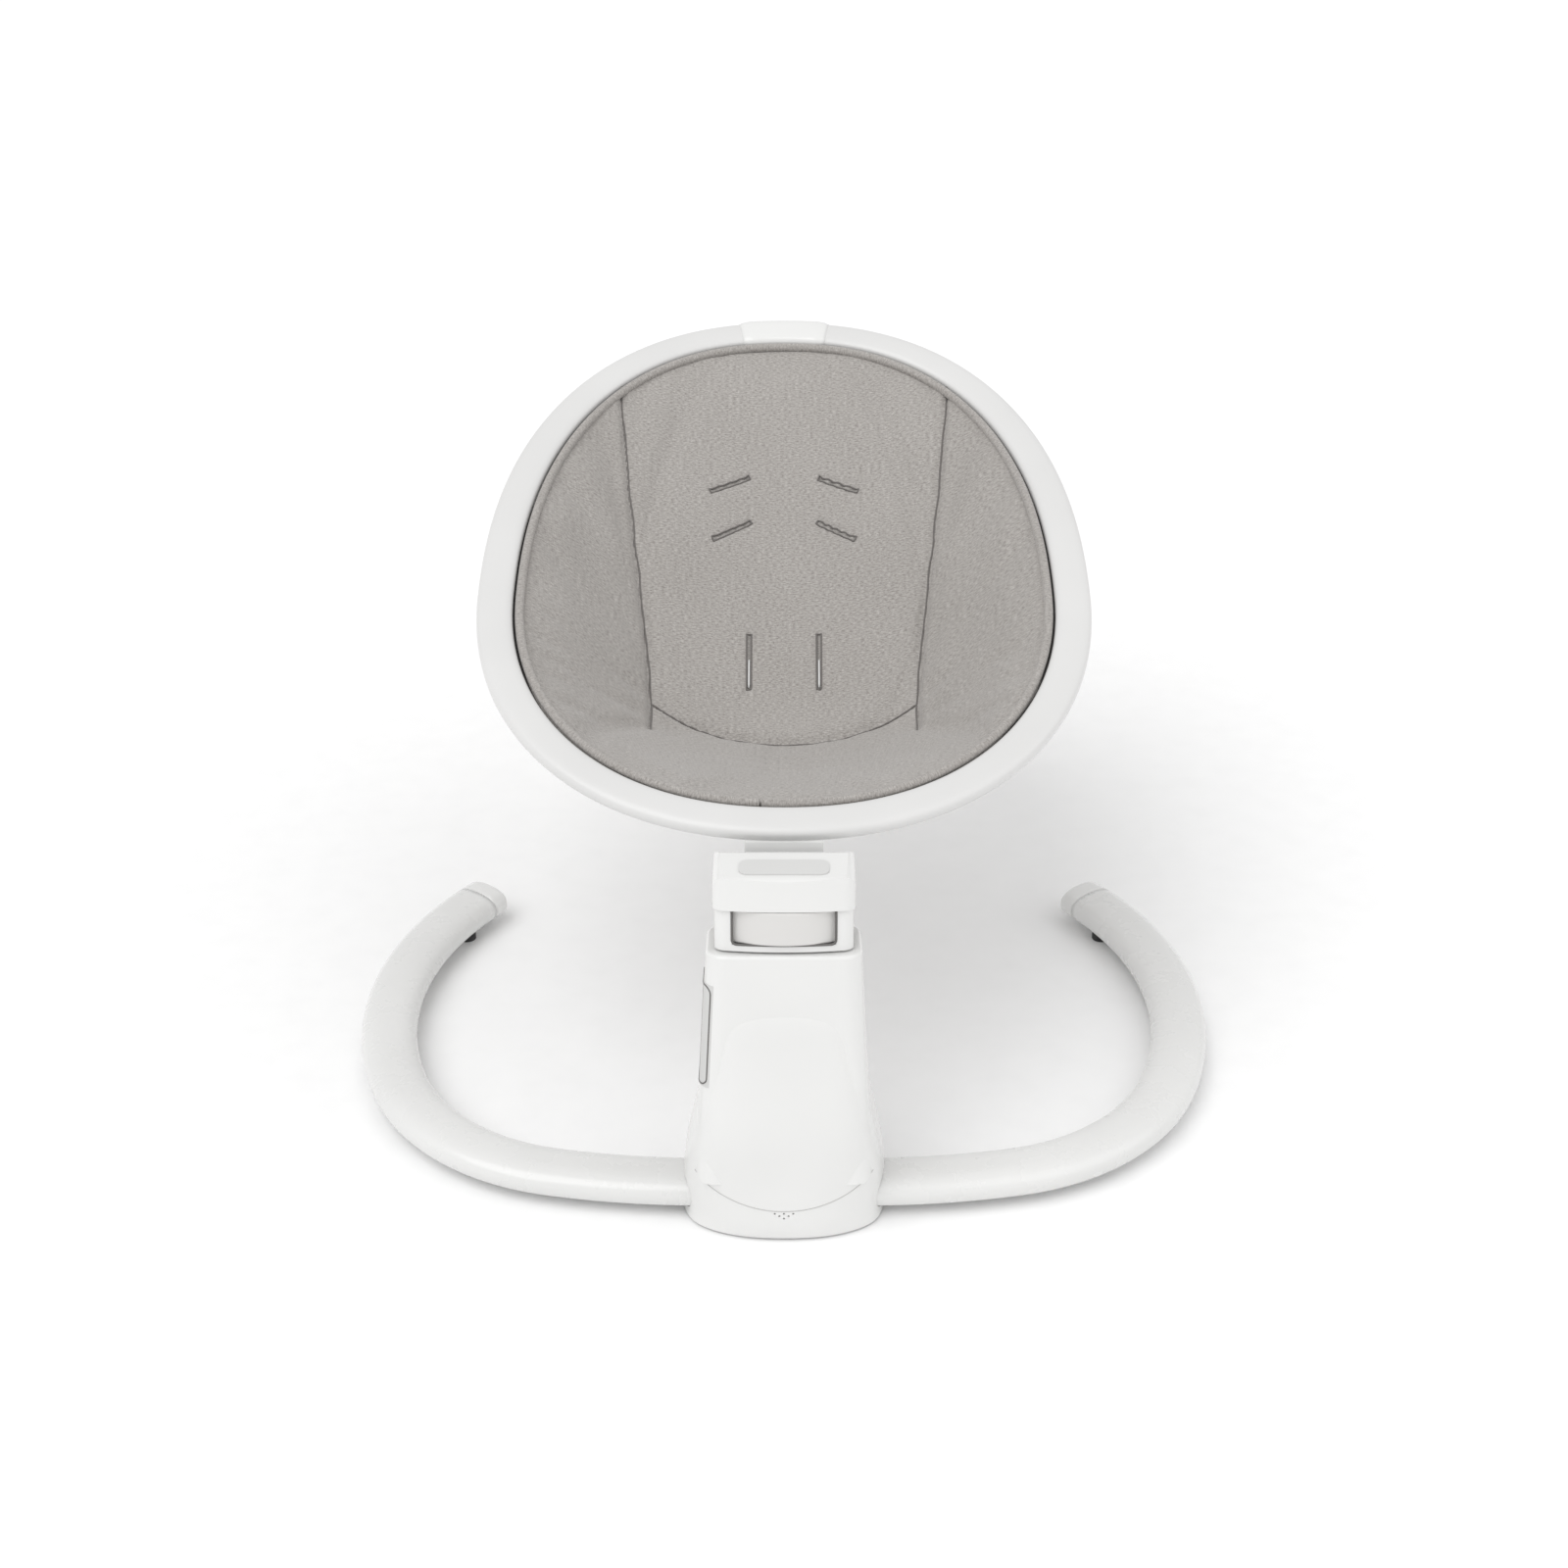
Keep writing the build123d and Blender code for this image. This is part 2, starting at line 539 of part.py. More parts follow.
def make_head():
    walls = head_prism(0, HEAD_BOTTOM, CAP_LOW) - head_prism(WALL, HEAD_BOTTOM + HEAD_FLOOR, CAP_LOW + 1)
    walls -= rod(0, 0, HEAD_BOTTOM - 1, HEAD_BOTTOM + 6, 12.5)
    window = block(
        -BUTTON_HALF_WIDTH - BUTTON_GAP,
        BUTTON_HALF_WIDTH + BUTTON_GAP,
        -60,
        -15,
        BUTTON_LOW - BUTTON_GAP,
        CAP_LOW + 1,
    )
    plate_low = HEAD_BOTTOM + HEAD_FLOOR
    plate_top = plate_low + CHASSIS_PLATE
    screws = [rod(x, y, HEAD_BOTTOM, plate_top, SCREW_RADIUS) for x in (-37.5, 37.5) for y in (-14, 16)]
    for screw in screws:
        walls -= screw
    front = (walls & block(-60, 60, -60, 0, 200, 260)) - window
    rear = walls & block(-60, 60, 0, 60, 200, 260)
    save("head_front_shell", lean(front))
    save("head_rear_shell", lean(rear))

    cap = lean(head_prism(0, CAP_LOW, 300, CAP_LIP)) & cap_profile(0) & cap_front_view(0)
    hollow = lean(head_prism(WALL, CAP_LOW - 1, 300)) & cap_profile(WALL) & cap_front_view(WALL)
    slot = lean(block(-NECK_HALF_WIDTH - 1.4, NECK_HALF_WIDTH + 1.4, 10, 60, CAP_LOW - 1, 300))
    cap = cap - hollow - slot
    badge_place = Location((0, BADGE_Y, HEAD_TOP_Z - 0.7), (-BADGE_SLOPE, 0, 0))
    badge = badge_place * extrude(RectangleRounded(61, 20, 6), 1.0)
    save("head_cap", largest(cap - badge))
    save("blank_badge", badge)

    chassis = block(-42, 42, -18, 22, plate_low, plate_top)
    chassis += rod(0, 0, plate_low, BOSS_H, BOSS_OUTER)
    for side in (-1, 1):
        x0, x1 = sorted((side * 28.2, side * 33.2))
        ear = block(x0, x1, PIVOT_Y - 8, PIVOT_Y + 8, plate_low, PIVOT_H)
        ear += rod_x(x0, x1, PIVOT_Y, PIVOT_H, 8)
        post_x = sorted((side * 27, side * 33))
        chassis += ear + block(post_x[0], post_x[1], -8, -5, plate_low, 236)
        chassis -= rod(side * LATCH_SPRING_X, LATCH_SPRING_Y, plate_low - 1, plate_top + 1, 3.3)
    chassis -= rod(0, 0, 205, SHAFT_TOP, SHAFT_RADIUS)
    chassis -= rod_x(-40, 40, PIVOT_Y, PIVOT_H, PIN_RADIUS)
    chassis -= rod_x(-20, 20, 0, CROSS_PIN_H, CROSS_PIN_RADIUS)
    for screw in screws:
        chassis -= screw
    save("head_chassis", lean(chassis))
    save("recline_pin", lean(rod_x(-37, 37, PIVOT_Y, PIVOT_H, PIN_RADIUS)))
    save("head_screws", *[lean(screw) for screw in screws])


# ---- Button and latch ----


def make_button():
    half = BUTTON_HALF_WIDTH
    outline = [
        ThreePointArc((-half, -21.5), (0, -30.5), (half, -21.5)),
        Polyline((half, -21.5), (half, -19.4), (-half, -19.4), (-half, -21.5)),
    ]
    face = extrude(Pos(0, 0, BUTTON_LOW) * make_face(outline), BUTTON_HIGH - BUTTON_LOW)
    front_edges = [e for e in face.edges() if e.center().Y < -23 and abs(e.center().X) < 10]
    face = fillet(front_edges, 1.2)
    flange = block(-half - 2, half + 2, -19.4, BUTTON_BACK, BUTTON_LOW + 1, BUTTON_HIGH - 1)
    button = face + flange - block(-26, 26, -21.8, -10, 210, 228.5)
    for side in (-1, 1):
        x0, x1 = sorted((side * (SECTOR_INNER_X + 0.5), side * (SECTOR_OUTER_X - 0.5)))
        wedge = [(-19.4, 221.4), (-14.0, 226.8), (-14.0, 232.0), (-19.4, 232.0)]
        button += side_prism(wedge, x0, x1)
    save("recline_button", lean(button))
    springs = [lean(coil((x, BUTTON_BACK, 228.0), (0, 1, 0), 8.9, SPRING_RADIUS)) for x in (-30, 30)]
    save("button_springs", *springs)


def side_prism(points, x0, x1):
    """A prism across the head from a side-view outline of (back, up) points."""
    plane = Plane(origin=(x0, 0, 0), x_dir=(0, 1, 0), z_dir=(1, 0, 0))
    return extrude(plane.location * make_face(Polyline(*points, close=True)), x1 - x0)


def coil(start, direction, length, radius):
    """A compression spring of round wire."""
    rise = length - 2 * SPRING_WIRE_RADIUS
    helix = Helix(pitch=rise / SPRING_TURNS, height=rise, radius=radius - SPRING_WIRE_RADIUS)
    section = Plane(origin=helix @ 0, z_dir=helix % 0).location * Circle(SPRING_WIRE_RADIUS)
    spring = Pos(0, 0, SPRING_WIRE_RADIUS) * sweep(section, path=helix)
    return Plane(origin=start, z_dir=direction).location * spring


def make_latch():
    plate = block(-25, 25, -17, 15, LATCH_LOW, LATCH_LOW + LATCH_THICK)
    plate -= block(-13.2, 13.2, -13.2, 16, LATCH_LOW - 1, LATCH_LOW + LATCH_THICK + 1)
    top = LATCH_LOW + LATCH_THICK
    for side in (-1, 1):
        x0, x1 = sorted((side * SECTOR_INNER_X, side * SECTOR_OUTER_X))
        plate += side_prism([(-17, top), (-13, top + 4), (-13, top)], x0, x1)
        plate += block(x0, x1, PIVOT_Y - 2, PIVOT_Y + 2, top - 1, PIVOT_H - SECTOR_RADIUS - 0.3)
    save("latch_yoke", lean(plate))
    low = HEAD_BOTTOM + HEAD_FLOOR
    height = LATCH_LOW - low - 0.1
    springs = both_sides(coil((LATCH_SPRING_X, LATCH_SPRING_Y, low), (0, 0, 1), height, SPRING_RADIUS))
    save("latch_springs", *[lean(spring) for spring in springs])


# ---- Seat ----


def hoop_path(start, sweep_angle, count):
    inset = HOOP_TUBE_WIDTH / 2
    points = oval_points(
        HOOP_HALF_WIDTH - inset,
        HOOP_BACK - inset,
        HOOP_FRONT - inset,
        HOOP_POWER_BACK,
        HOOP_POWER_FRONT,
        start,
        sweep_angle,
        count,
    )
    return Spline(*points)


def hoop_tube(path, extra):
    place = Plane(origin=path @ 0, x_dir=Vector(path % 0).cross(Vector(0, 0, 1)), z_dir=path % 0)
    section = place.location * SlotOverall(HOOP_TUBE_WIDTH + 2 * extra, HOOP_TUBE_HEIGHT + 2 * extra)
    return sweep(section, path=path)


def make_seat():
    path = hoop_path(90 + TUBE_GAP_ANGLE, 360 - 2 * TUBE_GAP_ANGLE, 48)
    solid = hoop_tube(path, 0)
    tube = solid - hoop_tube(path, -HOOP_TUBE_WALL)
    sleeve_path = hoop_path(90 - SLEEVE_HALF_ANGLE, 2 * SLEEVE_HALF_ANGLE, 6)
    sleeve = largest(hoop_tube(sleeve_path, SLEEVE_WALL) - solid)
    sleeve_y = HOOP_BACK - HOOP_TUBE_WIDTH / 2
    sleeve_screws = []
    sleeve_low = -HOOP_TUBE_HEIGHT / 2 - SLEEVE_WALL
    for x in (-SLEEVE_SCREW_X, SLEEVE_SCREW_X):
        hole = rod(x, sleeve_y, -12, -3, SLEEVE_SCREW_RADIUS)
        tube -= hole
        sleeve -= hole
        shank = rod(x, sleeve_y, sleeve_low, -3, SLEEVE_SCREW_RADIUS)
        head = rod(x, sleeve_y, sleeve_low - 1.2, sleeve_low, 3)
        sleeve_screws.append(HOOP.location * (shank + head))

    saddle_front = -HOOP_FRONT - 1
    saddle_back = -HOOP_FRONT + HOOP_TUBE_WIDTH - 1
    saddle_corners = [(saddle_front, -3), (saddle_back, -3), (saddle_back, -13)]
    to_lean = AXIS.location.inverse() * HOOP.location
    corners = [(to_lean * Pos(0, y, z)).position for y, z in saddle_corners]
    outline = [(2.0, 250.0), (20.0, 266.0)] + [(c.Y, c.Z) for c in corners] + [(19.9, 238.0)]
    neck = side_prism(outline, -NECK_HALF_WIDTH, NECK_HALF_WIDTH)
    neck += rod_x(-NECK_HALF_WIDTH, NECK_HALF_WIDTH, PIVOT_Y, PIVOT_H, NECK_HUB_RADIUS)
    for side in (-1, 1):
        x0, x1 = sorted((side * SECTOR_INNER_X, side * SECTOR_OUTER_X))
        sector = rod_x(x0, x1, PIVOT_Y, PIVOT_H, SECTOR_RADIUS) & block(-30, 30, -2, 23, 220, 242)
        for step in range(3):
            notch = block(-30, 30, -2.4, 2.4, -SECTOR_RADIUS - 1, 3 - SECTOR_RADIUS)
            sector -= Pos(0, PIVOT_Y, PIVOT_H) * Rot(step * RECLINE_STEP, 0, 0) * notch
        neck += sector
    neck -= rod_x(-40, 40, PIVOT_Y, PIVOT_H, PIN_RADIUS + SHAFT_CLEARANCE)
    neck = lean(neck) - HOOP.location * solid
    neck_screws = []
    neck_y = -HOOP_FRONT + HOOP_TUBE_WIDTH / 2 + 1
    for x in (-NECK_SCREW_X, NECK_SCREW_X):
        hole = rod(x, neck_y, -30, -3, SCREW_RADIUS)
        tube -= hole
        neck -= HOOP.location * hole
        neck_screws.append(HOOP.location * rod(x, neck_y, -13, -3.5, SCREW_RADIUS))
    save("neck_bracket", largest(neck))
    save("neck_screws", *neck_screws)
    save("seat_hoop", HOOP.location * tube)
    save("hoop_sleeve", HOOP.location * sleeve)
    save("sleeve_screws", *sleeve_screws)
    sleeve_room = hoop_tube(sleeve_path, SLEEVE_WALL + FABRIC_GAP)
    save("seat_fabric", HOOP.location * (bucket() - sleeve_room))


def bucket():
    """The fabric seat as a deep bowl hung inside the hoop."""
    rim = HOOP_TUBE_WIDTH + FABRIC_GAP
    outer = [hoop_oval(rim, FABRIC_PROUD), hoop_oval(rim + 0.5, -6)]
    inner_rim = rim + FABRIC_THICKNESS
    inner = [hoop_oval(inner_rim, FABRIC_PROUD + 1), hoop_oval(inner_rim + 0.5, -3)]
    side_inset, front_inset, back_inset = BUCKET_INSETS
    for z, half, front, back, wide in BUCKET_SECTIONS:
        bottom = z == -BUCKET_DEPTH
        outer.append(oval_face(half, front, back, wide, BUCKET_POWER, BUCKET_POWER, z))
        inner_front = front + front_inset
        inner_back = back - (front_inset if bottom else back_inset)
        inner_z = z + FABRIC_THICKNESS if bottom else z
        inner.append(
            oval_face(half - side_inset, inner_front, inner_back, wide, BUCKET_POWER, BUCKET_POWER, inner_z)
        )
    return loft(outer) - loft(inner)


shell = dome(0) - dome(WALL)
leg = make_legs()
make_foot(leg, shell)
make_column()
make_drive()
make_head()
make_button()
make_latch()
make_seat()
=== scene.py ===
import json
import bpy
from math import cos, exp, hypot, pi, radians, sin, sqrt
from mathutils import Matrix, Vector, noise
from mathutils.bvhtree import BVHTree


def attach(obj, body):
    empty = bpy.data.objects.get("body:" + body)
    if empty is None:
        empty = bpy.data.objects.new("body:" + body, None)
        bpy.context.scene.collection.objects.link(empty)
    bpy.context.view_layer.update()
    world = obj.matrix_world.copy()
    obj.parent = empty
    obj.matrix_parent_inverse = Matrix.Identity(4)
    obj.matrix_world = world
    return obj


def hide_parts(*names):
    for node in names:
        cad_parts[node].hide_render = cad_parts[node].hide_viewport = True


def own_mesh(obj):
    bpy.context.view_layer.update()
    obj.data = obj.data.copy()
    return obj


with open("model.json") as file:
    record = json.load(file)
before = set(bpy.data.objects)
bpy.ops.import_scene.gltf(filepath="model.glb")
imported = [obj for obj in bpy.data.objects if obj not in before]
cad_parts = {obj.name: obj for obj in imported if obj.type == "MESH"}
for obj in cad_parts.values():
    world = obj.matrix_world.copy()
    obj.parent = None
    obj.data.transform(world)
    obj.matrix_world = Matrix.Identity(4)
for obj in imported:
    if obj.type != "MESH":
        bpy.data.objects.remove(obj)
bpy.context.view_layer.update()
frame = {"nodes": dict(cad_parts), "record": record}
scene = bpy.context.scene
nodes = frame["nodes"]
MM = 0.001

# ---- Camera: a 62 mm lens, 30 degrees down, square on to the front ----
CAMERA_PLACE = (0.0, -1.5265, 1.2214)
CAMERA_PITCH = 30.0
CAMERA_LENS = 62.0

# ---- Seat hoop and bucket, in the hoop's own plane: x across, s to the back, n up (metres) ----
HOOP_RECLINE = radians(15)
HOOP_CENTRE = Vector((0, 0.3005, 0.332))
HOOP_WIDTH, HOOP_BACK, HOOP_FRONT = 0.2295, 0.341, 0.255
POWER_BACK, POWER_FRONT = 2.28, 2.19
TUBE_WIDTH, TUBE_HEIGHT = 0.027, 0.013
SLEEVE_HALF_ANGLE = radians(6.3)
SLEEVE_WALL = 0.0016
PIPING_RADIUS = 0.0033
PIPING_GAP = 0.0016
RIM_INSET = TUBE_WIDTH + PIPING_GAP + PIPING_RADIUS
FABRIC_THICKNESS = 0.008
SLOPE_BACK, SLOPE_FRONT, SLOPE_SIDE = 0.39, 0.70, 1.12
SEAM_SIDE = ((0.134, 0.262), (0.124, 0.165), (0.109, 0.052), (0.102, -0.02), (0.101, -0.058))
SEAM_LOW = ((0.102, -0.02), (0.076, -0.031), (0.048, -0.04), (0.02, -0.0445), (0.0, -0.045))
SLOTS = (
    ((0.029, 0.1875), (0.0585, 0.1745)),
    ((0.0275, 0.1495), (0.056, 0.1335)),
    ((0.0275, 0.054), (0.0275, 0.010)),
)
SLOT_HALF_WIDTH = 0.0019
THREAD_RADIUS, LOW_THREAD_RADIUS, SEAM_WANDER = 0.00075, 0.0009, 0.0014
CLOTH_CELLS, CLOTH_PRESSURE, CLOTH_FRAMES = 84, 4.0, 20
PIN_REACH, PUFF_CAP = 0.003, 0.006
SMOOTH_MIN_POWER = 6

# ---- Relief pressed into the pad (metres): valley depth and width, ridge height, place and width ----
SEAM_RELIEF = (0.0030, 0.0022, 0.0007, 0.006, 0.003)
SLOT_RELIEF = (0.0026, 0.0018, 0.0006, 0.0045, 0.0016)
OUTER_SEAM_DEPTH, OUTER_SEAM_WIDTH = 0.002, 0.003
WAIST_CREASE_TO, WAIST_CREASE_WIDTH, WAIST_CREASE_DEPTH = (0.006, -0.013), 0.0024, 0.0014
LAP_FOLDS = ((-0.088, 0.05), (-0.106, -0.07), (-0.126, 0.04))
LAP_FOLDS_FROM, LAP_FOLD_DEPTH, LAP_FOLD_WIDTH = -0.055, 0.0012, 0.0042
LAP_FOLD_MIDDLE, LAP_FOLD_REACH = 0.012, 0.045

# ---- Column: it leans back, so its trim is drawn along the leaning axis (metres) ----
COLUMN_LEAN = radians(12)
AXIS_BACK = -0.0228
SEAM_LOW_POINT, SEAM_RADIUS, SEAM_HALF_MM = 0.028, 0.1, 62
HEAD_HALF_WIDTH, HEAD_FRONT, HEAD_SAG = 0.0473, 0.0275, 0.005
BUTTON_EDGE_X, BUTTON_BOTTOM, BUTTON_TOP = 0.0352, 0.2160, 0.2400
BUTTON_CORNER, GAP_STEP = 0.0032, 0.002
LABEL_EDGES, LABEL_CORNER = (-0.0284, 0.0130, 0.1134, 0.1856), 0.005
SEAM_CORD, LABEL_CORD, GAP_CORD = 0.00035, 0.00055, 0.00085

# ---- Return springs: name, side offset, start (y, h), direction, length, fixed end (y, h), share kept ----
SPRING_RADIUS, SPRING_WIRE, SPRING_TURNS, SPRING_STEPS = 0.0028, 0.00035, 5, 24
SPRING_PAIRS = (
    ("button_springs", 0.030, (-0.0170, 0.2280), "back", 0.0089, (-0.0080, 0.2280), 0.54),
    ("latch_springs", 0.019, (-0.0050, 0.2135), "up", 0.0066, (-0.0050, 0.2135), 0.38),
)

# ---- Floor legs: three tangent arcs (radius in metres, turn in degrees) ----
LEG_START = Vector((0.058, -0.0062, 0.0175))
LEG_BENDS = ((0.521, 12.0), (0.1658, 56.5), (0.2656, 57.6))
LEG_CAP_BEND = (0.2656, 2.4)
LEG_WIDTH, LEG_HEIGHT = 0.042, 0.023
LEG_CAP_LIP, LEG_TIP_FLAT = 0.982, 0.38
LEG_TIP_DOME, LEG_TIP_STEPS = 0.006, 9
LEG_STEPS = 60

# ---- Heather jersey: texture scales per metre of weave, and how much each layer counts ----
STREAK_SCALE, FLECK_SCALE, CLOUD_SCALE = (330, 1000, 1), (900, 1500, 1), (14, 14, 1)
RIB_SCALE = 310.0
FLECK_SHARE, CLOUD_SHARE = 0.36, 0.5
MIX_FACTOR, MIX_FIRST, MIX_SECOND, MIX_RESULT = 0, 6, 7, 2


def make_camera():
    """The photo's view."""
    data = bpy.data.cameras.new("camera")
    data.lens = CAMERA_LENS
    data.sensor_width = 36
    data.clip_end = 20
    camera = bpy.data.objects.new("camera", data)
    camera.location = CAMERA_PLACE
    camera.rotation_euler = (radians(90 - CAMERA_PITCH), 0, 0)
    scene.collection.objects.link(camera)
    scene.camera = camera


# ---- Materials ----


class Shader:
    """A Principled material and short ways to add procedural nodes to it."""

    def __init__(self, name, **values):
        self.material = bpy.data.materials.new(name)
        self.material.use_nodes = True
        self.tree = self.material.node_tree
        self.principled = self.tree.nodes["Principled BSDF"]
        for key, value in values.items():
            self.principled.inputs[key.replace("_", " ")].default_value = value

    def node(self, kind, inputs=None, **settings):
        """Adds a node; an input takes a value or another node's socket."""
        node = self.tree.nodes.new(kind)
        for key, value in settings.items():
            setattr(node, key, value)
        for key, value in (inputs or {}).items():
            self.feed(node.inputs[key], value)
        return node

    def feed(self, socket, value):
        if isinstance(value, bpy.types.NodeSocket):
            self.tree.links.new(value, socket)
        else:
            socket.default_value = value

    def coordinates(self, kind="Object", scale=(1, 1, 1)):
        source = self.node("ShaderNodeTexCoord").outputs[kind]
        return self.node("ShaderNodeMapping", {"Vector": source, "Scale": scale}).outputs["Vector"]

    def noise(self, vector, scale, detail=3.0, rough=0.5):
        inputs = {"Vector": vector, "Scale": scale, "Detail": detail, "Roughness": rough}
        return self.node("ShaderNodeTexNoise", inputs).outputs["Fac"]

    def ramp(self, fac, low, high, from_min=0.3, from_max=0.7):
        """Blends two colours over a stretch of a factor."""
        node = self.node("ShaderNodeValToRGB", {"Fac": fac})
        node.color_ramp.elements[0].position = from_min
        node.color_ramp.elements[1].position = from_max
        node.color_ramp.elements[0].color = (*low, 1)
        node.color_ramp.elements[1].color = (*high, 1)
        return node.outputs["Color"]

    def spread(self, fac, low, high):
        """Maps a factor onto a range of values."""
        inputs = {"Value": fac, "To Min": low, "To Max": high}
        return self.node("ShaderNodeMapRange", inputs).outputs["Result"]

    def mix(self, share, first, second, **settings):
        """Mixes two colours."""
        node = self.node("ShaderNodeMix", data_type="RGBA", **settings)
        self.feed(node.inputs[MIX_FACTOR], share)
        self.feed(node.inputs[MIX_FIRST], first)
        self.feed(node.inputs[MIX_SECOND], second)
        return node.outputs[MIX_RESULT]

    def bump(self, height, strength, distance, normal=None):
        inputs = {"Height": height, "Strength": strength, "Distance": distance}
        if normal:
            inputs["Normal"] = normal
        return self.node("ShaderNodeBump", inputs).outputs["Normal"]

    def surface(self, **links):
        """Feeds the Principled inputs and gives the finished material."""
        for key, value in links.items():
            self.feed(self.principled.inputs[key.replace("_", " ")], value)
        return self.material


def tone(colour, factor):
    """A colour made lighter or darker."""
    return tuple(min(1.0, c * factor) for c in colour)


def moulded(name, colour, rough, grain=260.0, depth=0.00004, coat=0.0, metallic=0.0):
    """Moulded plastic, paint or plated metal: faint mottling, uneven gloss and a fine skin texture."""
    s = Shader(name, Metallic=metallic, Coat_Weight=coat, Coat_Roughness=0.08, IOR=1.49)
    where = s.coordinates()
    broad = s.noise(where, 9.0, 2.0)
    fine = s.noise(where, grain, 2.0)
    swirl = s.noise(where, 35.0, 4.0, 0.6)
    return s.surface(
        Base_Color=s.ramp(broad, tone(colour, 0.975), tone(colour, 1.015)),
        Roughness=s.spread(swirl, rough * 0.8, rough * 1.25),
        Normal=s.bump(fine, 0.25, depth),
    )


def heather(name, dark, mid, light, knit=1.0):
    """Heather jersey: mottled yarn streaks, fine knit ribs and a soft nap."""
    s = Shader(name, Roughness=0.93, Sheen_Weight=0.35, Sheen_Roughness=0.45, Specular_IOR_Level=0.18)
    streaks = s.noise(s.coordinates("UV", STREAK_SCALE), 1.0, 3.0, 0.7)
    flecks = s.noise(s.coordinates("UV", FLECK_SCALE), 1.0, 2.0, 0.6)
    cloud = s.noise(s.coordinates("UV", CLOUD_SCALE), 1.0, 3.0, 0.5)
    yarn = s.ramp(streaks, dark, light, 0.32, 0.68)
    speck = s.ramp(flecks, tone(mid, 0.72), tone(mid, 1.2), 0.35, 0.65)
    mixed = s.mix(FLECK_SHARE, yarn, speck)
    clouded = s.ramp(cloud, (0.9, 0.895, 0.89), (1.0, 1.0, 1.0))
    shade = s.mix(CLOUD_SHARE, mixed, clouded, blend_type="MULTIPLY")
    weave = {"Vector": s.coordinates("UV"), "Scale": RIB_SCALE, "Distortion": 1.2}
    ribs = s.node("ShaderNodeTexWave", {**weave, "Detail": 2.0, "Detail Scale": 2.0}).outputs["Fac"]
    rough_yarn = s.bump(flecks, 0.5, 0.0005 * knit)
    ribbed = s.bump(ribs, 0.35, 0.0003 * knit, rough_yarn)
    return s.surface(Base_Color=shade, Normal=s.bump(streaks, 0.3, 0.0004 * knit, ribbed))


def make_materials():
    """Every material of the part and its trim, by name."""
    return {
        "white_gloss": moulded("white_gloss", (0.785, 0.785, 0.775), 0.24, coat=0.35),
        "leg_white": moulded("leg_white", (0.755, 0.755, 0.745), 0.27, coat=0.3),
        "hoop_white": moulded("hoop_white", (0.70, 0.697, 0.69), 0.33, coat=0.15),
        "button_grey": moulded("button_grey", (0.69, 0.68, 0.665), 0.42),
        "badge_grey": moulded("badge_grey", (0.66, 0.66, 0.65), 0.3),
        "label_film": moulded("label_film", (0.62, 0.62, 0.61), 0.5),
        "rubber_dark": moulded("rubber_dark", (0.035, 0.035, 0.036), 0.7, depth=0.0002),
        "chassis_grey": moulded("chassis_grey", (0.32, 0.33, 0.34), 0.5),
        "steel": moulded("steel", (0.62, 0.63, 0.64), 0.3, metallic=1.0),
        "bearing_plastic": moulded("bearing_plastic", (0.78, 0.75, 0.66), 0.4),
        "magnet": moulded("magnet", (0.7, 0.7, 0.72), 0.18, metallic=1.0),
        "copper": moulded("copper", (0.72, 0.36, 0.2), 0.35, metallic=1.0),
        "board_green": moulded("board_green", (0.03, 0.2, 0.08), 0.4),
        "black_part": moulded("black_part", (0.03, 0.03, 0.03), 0.45),
        "heather_fabric": heather(
            "heather_fabric", dark=(0.20, 0.183, 0.17), mid=(0.37, 0.349, 0.33), light=(0.62, 0.597, 0.57)
        ),
        # Dark heather for the seam and slot cords: thread colour with painted shade of the seam valleys and
        # slot openings.
        "seam_thread_and_shade": heather(
            "seam_thread_and_shade", dark=(0.12, 0.11, 0.105), mid=(0.17, 0.16, 0.15), light=(0.24, 0.225, 0.215)
        ),
        # Painted shade for the dark strip in the gap between the hoop and the piping.
        "gap_shade_dark": moulded("gap_shade_dark", (0.05, 0.047, 0.045), 0.8),
        # Painted shade along the seam at the foot's step.
        "seam_shade_grey": moulded("seam_shade_grey", (0.5, 0.5, 0.49), 0.6),
        # Painted shade in the gap around the recline button; also the colour of the label's dark border.
        "shade_and_border_dark": moulded("shade_and_border_dark", (0.13, 0.125, 0.12), 0.6),
    }


def dress_cad_nodes(materials):
    """Gives each CAD node the material of its slot in the record."""
    for part in frame["record"]["subparts"]:
        mesh = nodes[part["node"]].data
        mesh.materials.clear()
        mesh.materials.append(materials[part["material_slot"]])


# ---- Mesh helpers ----


def add_mesh(name, vertices, faces, material, body, uvs=None):
    """A smooth-shaded mesh piece that rides a body."""
    mesh = bpy.data.meshes.new(name)
    mesh.from_pydata([tuple(v) for v in vertices], [], faces)
    mesh.polygons.foreach_set("use_smooth", [True] * len(mesh.polygons))
    mesh.materials.append(material)
    if uvs:
        layer = mesh.uv_layers.new(name="weave")
        for loop in mesh.loops:
            layer.data[loop.index].uv = uvs[loop.vertex_index]
    mesh.update()
    piece = bpy.data.objects.new(name, mesh)
    scene.collection.objects.link(piece)
    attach(piece, body)
    return piece


def squircle(width, height, power, count):
    """A flat-oval tube section as a superellipse, as (across, up) points."""
    points = []
    for i in range(count):
        a = 2 * pi * i / count
        ca, sa = cos(a), sin(a)
        points.append(
            (
                width / 2 * abs(ca) ** (2 / power) * (1 if ca > 0 else -1),
                height / 2 * abs(sa) ** (2 / power) * (1 if sa > 0 else -1),
            )
        )
    return points


